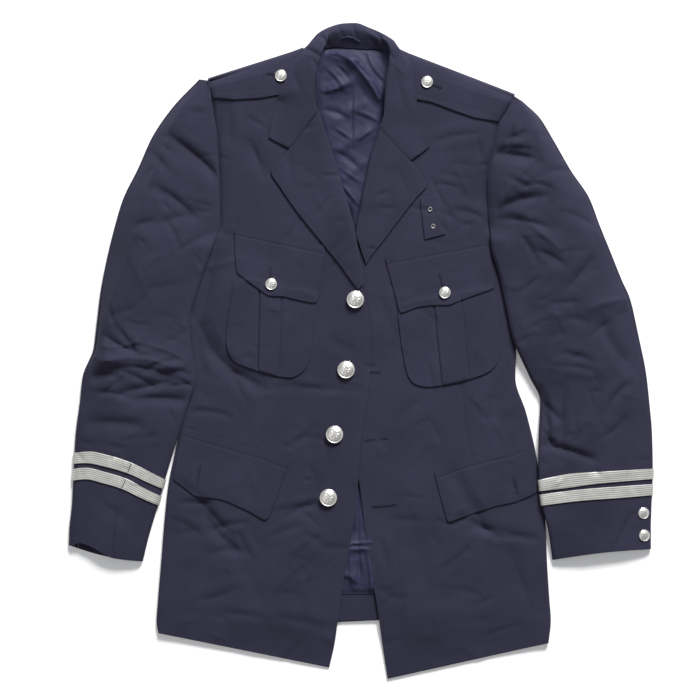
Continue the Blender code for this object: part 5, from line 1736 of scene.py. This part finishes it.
# Half section of a plated button: share of its radius, then height as a share of its size
BUTTON_PROFILE = (
    ((0.0, 0.215), (0.12, 0.214), (0.24, 0.21), (0.36, 0.203), (0.48, 0.193), (0.6, 0.18))
    + ((0.7, 0.162), (0.76, 0.144), (0.8, 0.122), (0.84, 0.112), (0.88, 0.124), (0.93, 0.135))
    + ((0.97, 0.122), (1.0, 0.085), (0.985, 0.05), (0.93, 0.02), (0.84, 0.0), (0.0, 0.0))
)
# Shares of its size: the middle of its height, where the relief begins and how high it is
BUTTON_MIDDLE = 0.1075
BUTTON_FACE = 0.1
BUTTON_RELIEF = 0.015
ROPE_TWISTS = 36


def relief(far, turn, petals):
    """A flower, a ring and a rope rim on a button, at a share of its radius and an angle."""
    petal = 0.5 + 0.5 * math.cos(petals * turn)
    flower = bell(far - 0.38, 0.15) * petal**1.5
    flower += 0.8 * bell(far, 0.1)
    ring = 0.5 * bell(far - 0.66, 0.035)
    rope = 0.35 * bell(far - 0.93, 0.05) * math.cos(ROPE_TWISTS * turn)
    return flower + ring + rope


def dress_button(name, node_name, size, petals):
    """A domed plated button, with a rope rim and a plain flower in relief, where its solid stands."""
    low, high = (Vector(corner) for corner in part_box(node_name))
    middle = (low + high) / 2
    axis = button_axis(node_name)
    radius = size / 2
    bm = bmesh.new()
    verts = [bm.verts.new((r * radius * MM, 0, up * size * MM)) for r, up in BUTTON_PROFILE]
    edges = [bm.edges.new(pair) for pair in zip(verts, verts[1:])]
    bmesh.ops.subdivide_edges(bm, edges=edges[:7], cuts=2)
    bmesh.ops.spin(
        bm,
        geom=bm.verts[:] + bm.edges[:],
        cent=(0, 0, 0),
        axis=(0, 0, 1),
        angle=2 * math.pi,
        steps=96,
        use_merge=True,
    )
    bmesh.ops.remove_doubles(bm, verts=bm.verts[:], dist=1e-6)
    bmesh.ops.recalc_face_normals(bm, faces=bm.faces[:])
    for vert in bm.verts:
        far = math.hypot(vert.co.x, vert.co.y) / (radius * MM)
        turn = math.atan2(vert.co.y, vert.co.x)
        if vert.co.z > size * BUTTON_FACE * MM:
            vert.co.z += size * MM * BUTTON_RELIEF * relief(far, turn, petals)
    spot = middle - axis * (size * BUTTON_MIDDLE * MM)
    turn = Vector((0, 0, 1)).rotation_difference(axis).to_matrix().to_4x4()
    bmesh.ops.transform(bm, matrix=turn, verts=bm.verts[:])
    bmesh.ops.translate(bm, vec=spot, verts=bm.verts[:])
    settle(placed(name, mesh_of(name, bm), "button"), (node_name,))


def button_axis(node_name):
    """The way a button faces: the area-weighted direction of the flat disc beneath it."""
    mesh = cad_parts[node_name].data
    total = Vector((0, 0, 0))
    for face in mesh.polygons:
        if face.normal.z < 0:
            total -= face.normal * face.area
    return total.normalized()


class JACKET_OT_buttons(bpy.types.Operator):
    """Makes the plated buttons and the eyelets' finish"""

    bl_idname = "jacket.buttons"
    bl_label = "Buttons and eyelets"

    def execute(self, context):
        for name in sorted(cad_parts):
            if "button" in name:
                size, petals = (LARGE_BUTTON, 8) if name.startswith("front") else (SMALL_BUTTON, 6)
                dress_button(name + "_plated", name, size, petals)
        for name in ("eyelet_1", "eyelet_2"):
            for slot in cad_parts[name].material_slots:
                slot.material = finish_of("eyelet")
        return {"FINISHED"}


LACE_JOINTS = {
    # where each stripe on the right cuff is joined, over the forearm's seam
    "lace_joint_upper": ("lace_right_upper", (-297.5, -143.5), (-302.5, -157)),
    "lace_joint_lower": ("lace_right_lower", (-305, -165.5), (-310.3, -177)),
}


class JACKET_OT_buttonholes(bpy.types.Operator):
    """Makes the worked buttonholes that show"""

    bl_idname = "jacket.buttonholes"
    bl_label = "Buttonholes"

    def execute(self, context):
        for name, (carrier, start, end) in BUTTONHOLES.items():
            rest = Rest(*find(carrier))
            (x0, y0), (x1, y1) = start, end
            length = math.hypot(x1 - x0, y1 - y0)
            ux, uy = (x1 - x0) / length, (y1 - y0) / length
            outline = []
            for middle, first in ((length, -math.pi / 2), (0, math.pi / 2)):
                for turn in np.linspace(first, first + math.pi, 7):
                    outline.append((middle + HOLE_HALF * math.cos(turn), HOLE_HALF * math.sin(turn)))
            points = []
            for a, b in outline:
                x, y = x0 + ux * a - uy * b, y0 + uy * a + ux * b
                points.append((x, y, rest.top(x, y) + HOLE_LIFT))
            made = thread_line(name, points, HOLE_THREAD, "thread", closed=True)
            settle(made, ())
        for name, (carrier, start, end) in LACE_JOINTS.items():
            rest = Rest(*find(carrier))
            points = [(x, y, rest.top(x, y) + JOINT_LIFT) for x, y in along((start, end), 8)]
            settle(thread_line(name, points, JOINT_THREAD, "thread"), ())
        return {"FINISHED"}


# Middle of the photo's frame, in millimetres, and the width of the camera's sensor
VIEW_CENTRE = (-14.9, 1.6)
SENSOR_WIDTH = 36
# The floor's half width and how far it lies below the jacket, in metres
FLOOR_HALF = 6
FLOOR_DROP = 0.0003
# Lamps: name, power in watts, width and place in metres
LAMPS = (
    ("key_light", 455, 1.6, (1.15, 4.2, 2.85)),
    ("fill_light", 10, 2.4, (-1.6, -0.9, 2.6)),
)
SKY_COLOUR = (0.95, 0.97, 1.0)
SKY_STRENGTH = 0.29


class JACKET_OT_stage(bpy.types.Operator):
    """Makes the floor, the light and the camera straight above"""

    bl_idname = "jacket.stage"
    bl_label = "Floor, light and camera"

    def execute(self, context):
        sizes = context.scene.jacket_sizes
        bm = bmesh.new()
        bmesh.ops.create_grid(bm, x_segments=1, y_segments=1, size=FLOOR_HALF)
        bmesh.ops.translate(bm, vec=(0, 0, -FLOOR_DROP), verts=bm.verts[:])
        mesh = mesh_of("floor", bm)
        mesh.materials.append(floor_finish("pale_floor", tuple(context.scene.jacket_colours.floor)))
        floor = bpy.data.objects.new("floor", mesh)
        context.scene.collection.objects.link(floor)
        for name, power, size, place in LAMPS:
            lamp = bpy.data.lights.new(name, "AREA")
            lamp.energy = power
            lamp.size = size
            made = bpy.data.objects.new(name, lamp)
            made.location = place
            made.rotation_euler = (-Vector(place)).to_track_quat("-Z", "Y").to_euler()
            context.scene.collection.objects.link(made)
        world = bpy.data.worlds.new("soft_room")
        world.use_nodes = True
        sky = world.node_tree.nodes["Background"]
        sky.inputs["Color"].default_value = (*SKY_COLOUR, 1)
        sky.inputs["Strength"].default_value = SKY_STRENGTH
        context.scene.world = world
        context.scene.view_settings.view_transform = "Standard"
        view = bpy.data.cameras.new("view_from_above")
        view.sensor_width = SENSOR_WIDTH
        view.lens = SENSOR_WIDTH * sizes.camera_height / sizes.view_width
        camera = bpy.data.objects.new("view_from_above", view)
        camera.location = (VIEW_CENTRE[0] * MM, VIEW_CENTRE[1] * MM, sizes.camera_height)
        context.scene.collection.objects.link(camera)
        context.scene.camera = camera
        return {"FINISHED"}


STEPS = (
    JACKET_OT_fronts,
    JACKET_OT_sleeves,
    JACKET_OT_lapels,
    JACKET_OT_straps,
    JACKET_OT_collar,
    JACKET_OT_linings,
    JACKET_OT_pockets,
    JACKET_OT_braid,
    JACKET_OT_buttons,
    JACKET_OT_buttonholes,
    JACKET_OT_stage,
)


class JACKET_PT_panel(bpy.types.Panel):
    """Lists the sizes, colours and steps"""

    bl_idname = "JACKET_PT_panel"
    bl_label = "Dress jacket"
    bl_space_type = "VIEW_3D"
    bl_region_type = "UI"
    bl_category = "Jacket"

    def draw(self, context):
        for group in (context.scene.jacket_sizes, context.scene.jacket_colours):
            box = self.layout.box()
            for name in group.bl_rna.properties.keys():
                if name not in ("rna_type", "name"):
                    box.prop(group, name)
        for step in STEPS:
            self.layout.operator(step.bl_idname)


def register():
    for kind in (JacketSizes, JacketColours, *STEPS, JACKET_PT_panel):
        bpy.utils.register_class(kind)
    bpy.types.Scene.jacket_sizes = bpy.props.PointerProperty(type=JacketSizes)
    bpy.types.Scene.jacket_colours = bpy.props.PointerProperty(type=JacketColours)


def unregister():
    del bpy.types.Scene.jacket_colours
    del bpy.types.Scene.jacket_sizes
    for kind in reversed((JacketSizes, JacketColours, *STEPS, JACKET_PT_panel)):
        bpy.utils.unregister_class(kind)


def main():
    register()
    for step in STEPS:
        group, name = step.bl_idname.split(".")
        getattr(getattr(bpy.ops, group), name)()


if __name__ == "__main__":
    main()
